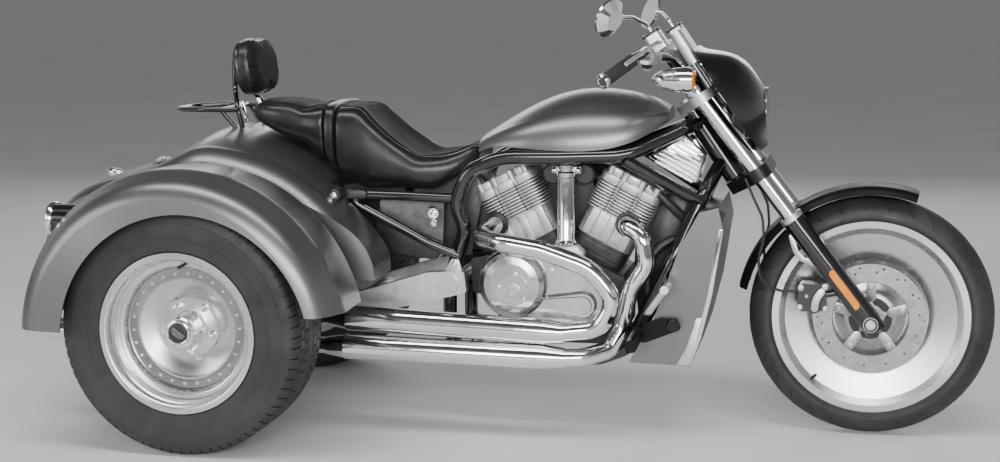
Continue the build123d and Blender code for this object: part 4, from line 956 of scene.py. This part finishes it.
def buildHead(name, lean):
    h = heads
    matrix = Matrix.Translation(engAt(*h["crank"])) @ Matrix.Rotation(radians(lean), 4, "Y")
    fins, covers = h["finBase"], h["coverBase"]

    def block(less, low, high, bevel, *shape):
        # a slab of the head's outline, shorter and narrower by so much
        return slab(finOutline(h["length"] - less[0], h["width"] - less[1], *shape), low, high, bevel)

    def add(pieces, part, finish, slot):
        register(settle(joined(pieces), matrix), name + part, finish, "chassis", 32, [name + "_cylinder"])

    head = [block((16, 22), h["jacketBase"], fins, 2, 24, None)]
    for s in sides:
        for x in h["ribs"]:
            rib = [(x - 15, s * 95), (x + 15, s * 95), (x + 12, s * 112), (x - 12, s * 112)]
            head.append(slab(rib, h["jacketBase"] + 2, fins + 2, 3))
    core = block((22, 22), fins - 1, covers + 1, 0, 22, (29, 10, 4))
    for k in range(h["fins"]):
        z = fins + k * h["finPitch"]
        head.append(block((-2 * min(k, 2), 0), z, z + h["finThick"], 0.8))
    head.append(block((0, 0), covers, covers + 24, 2.5))
    head.append(block((14, 18), covers + 20, h["top"], 4, 22, (29, 8, 8)))
    for s in sides:
        for x in h["bosses"]:
            place = facing(upwards, mm(x, s * (h["width"] / 2 - 13), covers + 14))
            head.append(lathe(h["boss"], 18, place))
    barrel = [block((26, 44), h["barrelBase"], h["jacketBase"], 2, 24, None)]
    barrel += [block((18, 36), z, z + 4, 0.8, 24, None) for z in h["barrelRings"]]
    add(head, "Head", "silver", "silver_case")
    add([core], "FinRoots", "greyMetal", "dark_metal")
    add(barrel, "Barrel", "darkMetal", "dark_metal")


# intake ducts: a plate on each side with slanted ribs, clipped to its outline
intakes = {
    "outline": [(446, 738), (548, 794.4), (596, 745), (577, 668), (560, 668)],
    "ribs": 9, "ribAngle": -29, "firstRib": (505, 690), "ribStep": (5.2, 11.6), "inset": 8, "shortest": 12,
}


def crossings(origin, direction, outline):
    # how far along a line it crosses a flat outline
    hits = []
    for start, end in zip(outline, outline[1:] + outline[:1]):
        edge, reach = end - start, start - origin
        cross = direction.cross(edge)
        if abs(cross) > 1e-6 and 0 <= reach.cross(direction) / cross <= 1:
            hits.append(reach.cross(edge) / cross)
    return hits


def buildIntakes():
    outline = [Vector(corner) for corner in intakes["outline"]]
    angle = radians(intakes["ribAngle"])
    along = Vector((cos(angle), sin(angle)))
    plates, ribs = [], []
    for s in sides:
        plates.append(sided(engAt, outline, 46, 40, 5)(s))
        for k in range(intakes["ribs"]):
            origin = Vector(intakes["firstRib"]) + Vector(intakes["ribStep"]) * k
            hits = crossings(origin, along, outline) or [0]
            low, high = min(hits) + intakes["inset"], max(hits) - intakes["inset"]
            if high - low >= intakes["shortest"]:
                start, end = (engAt(x, s * 86, z) for x, z in (origin + along * low, origin + along * high))
                ribs.append(wire([start, (start + end) / 2, end], 4.4))
    register(joined(plates), "intakeDucts", "chrome", "chassis", 30, ["intake_covers"])
    register(joined(ribs), "intakeRibs", "chrome", "chassis", 40, ["intake_covers"])


# engine details, on the right: the chrome pipe between the heads, the clutch lid, bolts and header flanges
clutchLid = (109, 240, 385)
engineFittings = {
    "waterPipeSleeve": ("chrome", 30, turned(engAt, [
        (0, 0), (0, 31), (5, 31), (9, 26), (16, 23.5), (176, 23), (180, 26), (190, 26), (194, 22), (197, 0),
    ], 48, (238, 142, 508), upwards)),
    "waterPipeFoot": ("silver", 40, sided(
        engAt, [(192, 462), (186, 486), (206, 508), (272, 508), (292, 486), (286, 462)], 124.4, 42, 7)),
    "waterPipeFlange": ("satin", 30, sided(
        engAt, [(198, 694), (278, 694), (278, 714), (198, 714)], 128, 14, 4)),
    "clutchLidRings": ("satin", 30, *[turned(engAt, outline, steps, clutchLid) for outline, steps in (
        (ring(18.5, 21, 1.6, 0.6), 48), (ring(10, 11.6, 1.4, 0.5), 40), (dome(5, 1.6), 24))]),
    "engineBolts": ("chrome", 30, *[turned(engAt, outline, 18, place) for outline, places in (
        (dome(8.5, 7), [(206, 142, 704), (270, 142, 704)]),
        (button(7, 7), [(200, 166, 480), (277, 166, 480)]),
        (button(6, 5), [(75, 232, 402), (118, 232, 436), (140, 232, 372)]),
        (button(6, 6), [(20, 124, 372), (212, 198, 448), (296, 198, 440), (356, 196, 372), (200, 198, 296),
                        (300, 198, 296)])) for place in places]),
    "headerFlanges": ("darkMetal", 30, *[turned(engAt, ring(24.2, 33, 9, 2), 36, *where) for where in (
        ((49, 124, 557), (-0.3, 0.91, -0.28)), ((400, 122, 562), (0, 1, 0)))]),
}
# dark parts behind: blocks across the middle (outline, half width, bevel), then stubs and hoses on each side
innerBlocks = [
    ([(150, 618), (196, 700), (196, 722), (282, 722), (282, 700), (322, 618), (238, 512)], 60, 10),
    ([(-62, 470), (-70, 640), (-20, 690), (20, 640), (30, 470)], 66, 12),
    ([(412, 560), (500, 640), (566, 640), (520, 480), (470, 330), (420, 300), (408, 420)], 58, 12),
    ([(44, 300), (44, 268), (392, 262), (392, 300)], 118, 6),
]
intakeStub = [(0, 0), (0, 27), (8, 30), (12, 27), (30, 26), (34, 29), (44, 29), (48, 24), (48, 0)]
innerShapes = [
    turned(engAt, intakeStub, 32, (196, 58, 690)),
    turned(engAt, intakeStub, 32, (280, 58, 690)),
    piped(engAt, [(560, 70, 560), (520, 96, 600), (468, 100, 652), (400, 84, 700), (330, 60, 700)], 13),
    piped(engAt, [(500, 92, 300), (468, 112, 330), (446, 116, 420), (470, 104, 500), (520, 90, 520)], 12),
]


def buildEngine():
    buildHead("rear", -heads["lean"])
    buildHead("front", heads["lean"])
    buildIntakes()
    fit(engineFittings, on=(-1,))
    inner = [sided(engAt, outline, -half, 2 * half, bevel)(1) for outline, half, bevel in innerBlocks]
    inner += [shape(s) for s in sides for shape in innerShapes]
    register(joined(inner), "innerEngine", "plastic", "chassis", 35)
    print("engine dressed")


# radiator shroud: bright front strips and a silver chin
shroudFittings = {
    "shroudStrips": ("chrome", 30, sided(
        engAt, strapOutline([(649, 559), (636, 470), (624, 391), (596, 272)], 6), 186, 6, 2)),
    "shroudChins": ("satin", 30, sided(
        engAt, [(616, 330), (602, 272), (577, 202), (540, 202), (566, 252), (590, 330)], 187.4, 3, 1.2)),
}

# handlebar: turn signals, bar ends and the lids of the fluid reservoirs
signalAt, barEnd, barInner = (36, 250, 321), (-89, 420, 413), (3, 300, 421)
barFittings = {
    "signalShells": ("chrome", 34, turned(steerAt, [
        (-38, 31), (-37, 33), (-30, 33), (-8, 31.5), (12, 28.5), (30, 24), (42, 19.5), (52, 13), (58, 6),
        (59.5, 0), (40, 0), (20, 18), (-38, 18), (-38, 31),
    ], 48, signalAt, backwards)),
    "signalLenses": ("amberLens", 34, turned(steerAt, [
        (-36, 0), (-36, 30.5), (-42, 30), (-46, 26), (-48.5, 14), (-49, 0),
    ], 40, signalAt, backwards)),
    "barEndCaps": ("chrome", 30, turned(steerAt, [
        (-3, 0), (-3, 17.4), (0, 19), (7, 19), (11, 16.5), (11, 12), (9.5, 10), (9.5, 0),
    ], 32, barEnd, steerAt(*barEnd) - steerAt(*barInner))),
    "reservoirLids": ("plastic", 30, lambda s: plate(
        [steerAt(52 + x, s * 262 + y, 447) for x, y in finOutline(48, 66, 9, None)], steerUp * 0.007, 2)),
    "reservoirScrews": ("chrome", 30, *[turned(
        steerAt, button(3.4, 2), 12, (x, y, 454), steerUp) for x in (35, 69) for y in (237, 287)]),
}

# tail: lamp rings and hinge domes, then the lock on the right with its key
tailFittings = {
    "tailLampRings": ("chrome", 34, turned(tailAt, [
        (0, 40.2), (0, 43), (4, 46), (12, 46.5), (17, 44), (18, 40.2), (0, 40.2),
    ], 48, (-386, 450, 585), backwards)),
    "hingeDomes": ("chrome", 34, *[turned(tailAt, dome(8.5, 7), 24, (-221, y, 715), upwards) for y in (141, 159)]),
}
lockFittings = {"keyLockFittings": (
    "chrome", 30,
    turned(engAt, ring(9, 15.5, 5, 1.5), 32, (-114, 183, 586)),
    turned(engAt, [(-2, 0), (-2, 9), (2, 9), (3, 7), (3, 0)], 24, (-114, 184, 586)),
    sided(engAt, [(-115.4, 586), (-115.4, 572), (-123, 566), (-123, 552), (-105, 552), (-105, 566),
                  (-112.6, 572), (-112.6, 586)], 188, 2.4, 0.6),
)}

# seam lines laid on the body's sides
bodySeams = [
    [(-1, 777), (60, 779), (112, 776), (165, 768), (208, 757), (248, 746), (282, 734)],
    [(-28, 729), (50, 727), (138, 718), (185, 703), (226, 680), (270, 652), (310, 626)],
]


def buildSeams():
    seams = []
    for s in sides:
        for line in bodySeams:
            casts = [nodes["rear_body"].ray_cast(tailAt(x, s * 700, z), Vector((0, -s, 0))) for x, z in line]
            points = [place + normal * 0.0002 for hit, place, normal, _ in casts if hit]
            if len(points) > 2:
                seams.append(wire(points, 0.9, 2))
    register(joined(seams), "bodySeams", "rubber", "chassis", 60)


# dark panels and the boss behind the frame, the swingarm's pivot caps, tail lenses
bossAt = (314, 262, 638)
panelFittings = {
    "framePanels": (
        "plastic", 34,
        sided(engAt, [
            (-392, 646), (-60, 688), (-24, 700), (6, 640), (-16, 540), (-30, 462), (-250, 440), (-330, 500),
        ], 92, 6, 1),
        sided(engAt, [(-290, 520), (-286, 556), (-262, 568), (-96, 500), (-120, 452), (-250, 470)], 131, 16, 5),
        turned(tailAt, [(-60, 0), (-60, 17), (-3, 17), (0, 14), (0, 0)], 32, bossAt),
        sided(tailAt, strapOutline([(296, 632), (330, 634), (372, 634)], 12), 166, 30, 3),
    ),
    "pivotCaps": (
        "satin", 30,
        turned(engAt, [(-30, 0), (-30, 27), (0, 27), (4, 24), (4, 20), (2, 18), (2, 0)], 40, (-75, 176, 396)),
        sided(engAt, [(-97, 422), (-41, 418), (-53, 458), (-73, 460)], 148, 8, 2),
    ),
    "tailLenses": ("redLens", 40, turned(
        tailAt, [(-1, 0), (-1, 38.5), (2, 38.5), (6, 35), (10, 24), (12, 0)], 40, (-402, 450, 585), backwards)),
}
# the lid's latch: a round base with a knob standing off the rear edge
latchFittings = {"lidLatch": (
    "chrome", 40,
    turned(tailAt, [(-6, 0), (-6, 8), (6, 8), (14, 12), (34, 13), (44, 11), (52, 6), (54, 0)], 28,
           (-406, 0, 651), (-0.98, 0, 0.16)),
    turned(tailAt, dome(15, 6), 28, (-396, 0, 655), (-0.6, 0, 0.8)),
)}
# bolts, and the stays at the foot of the backrest
boltFittings = {"tailBolts": (
    "chrome", 30,
    turned(tailAt, dome(10, 6), 24, bossAt),
    turned(engAt, button(8, 5), 20, (-63, 156, 446)),
    sided(tailAt, strapOutline([(-14, 868), (-6, 846), (-2, 820)], 5), 64, 4, 1),
    turned(tailAt, dome(5, 4), 18, (-4, 68, 826)),
)}


def buildTail():
    fit(tailFittings)
    fit(lockFittings, on=(-1,))
    buildSeams()
    fit(panelFittings)
    fit(latchFittings, "trunk_lid", on=(1,))
    fit(boltFittings)
    print("tail trimmed")


studio = {
    "floorSize": 60, "floorColor": (0.74, 0.74, 0.735), "skyStrength": 0.8, "target": (0, 0, 0.45),
    # grey of the sky from the horizon to overhead: level with the far floor, bright round the sides, dark above
    "sky": [(0.0, 0.215), (0.06, 0.225), (0.1, 0.85), (0.28, 0.8), (0.46, 0.3), (0.7, 0.1), (1.0, 0.08)],
    "lamps": {
        "top": {"place": (-0.2, -1.6, 3.8), "size": (5.0, 0.9), "power": 120},
        "key": {"place": (1.2, -6.0, 1.9), "size": (5.0, 1.4), "power": 330},
        "fill": {"place": (-4.2, -3.6, 1.6), "size": (2.4, 2.0), "power": 60},
        "back": {"place": (-0.5, 4.6, 2.6), "size": (6.0, 1.8), "power": 80},
    },
}


def buildStudio():
    pick()
    bpy.ops.mesh.primitive_plane_add(size=studio["floorSize"], location=(0, 0, 0))
    floor = bpy.context.object
    floor.name = "studioFloor"
    tint = (1.4, 8, 0.6), (0.3, (0.7, 0.7, 0.695)), (0.7, (0.78, 0.78, 0.775))
    ground = grained("paleFloor", studio["floorColor"], 0.0, 0.62, tint, None, ((60, 6), 0.1, 0.002))
    floor.data.materials.append(ground.material)
    for name, lamp in studio["lamps"].items():
        bpy.ops.object.light_add(type="AREA", location=lamp["place"])
        light = bpy.context.object
        light.name = name + "Light"
        light.data.shape = "RECTANGLE"
        light.data.size, light.data.size_y = lamp["size"]
        light.data.energy = lamp["power"]
        towards = Vector(studio["target"]) - light.location
        light.rotation_euler = towards.to_track_quat("-Z", "Y").to_euler()
    world = bpy.data.worlds.new("studioWorld")
    bpy.context.scene.world = world
    sky = Shading(world)
    height = sky.node("SeparateXYZ", Vector=sky.node("TexCoord").outputs["Generated"]).outputs["Z"]
    greys = sky.ramp(height, [(place, (grey, grey, grey * 1.02)) for place, grey in studio["sky"]])
    sky.links.new(greys, sky.nodes["Background"].inputs["Color"])
    sky.nodes["Background"].inputs["Strength"].default_value = studio["skyStrength"]
    print("studio built")


cameraSettings = {
    "place": (0.8903, -4.3219, 1.1890), "yaw": 0.21471, "pitch": 0.15680, "roll": -0.00537,
    "lens": 58.17, "sensor": 36, "shiftY": 0.0089,
}


def placeCamera():
    s = cameraSettings
    camera = linked("viewCamera", bpy.data.cameras.new("viewCamera"))
    camera.data.lens, camera.data.sensor_width, camera.data.shift_y = s["lens"], s["sensor"], s["shiftY"]
    camera.matrix_world = (
        Matrix.Translation(s["place"]) @ Matrix.Rotation(s["yaw"], 4, "Z")
        @ Matrix.Rotation(pi / 2 - s["pitch"], 4, "X") @ Matrix.Rotation(s["roll"], 4, "Z")
    )
    bpy.context.scene.camera = camera
    print("camera placed")


placeCamera()
dressNodes()
buildSeat()
buildBackrest()
buildTyres()
for side, s in (("right", -1), ("left", 1)):
    buildRearRim(side, s)
buildFork()
buildEngine()
fit(shroudFittings)
fit(barFittings, "steering")
buildTail()
buildStudio()
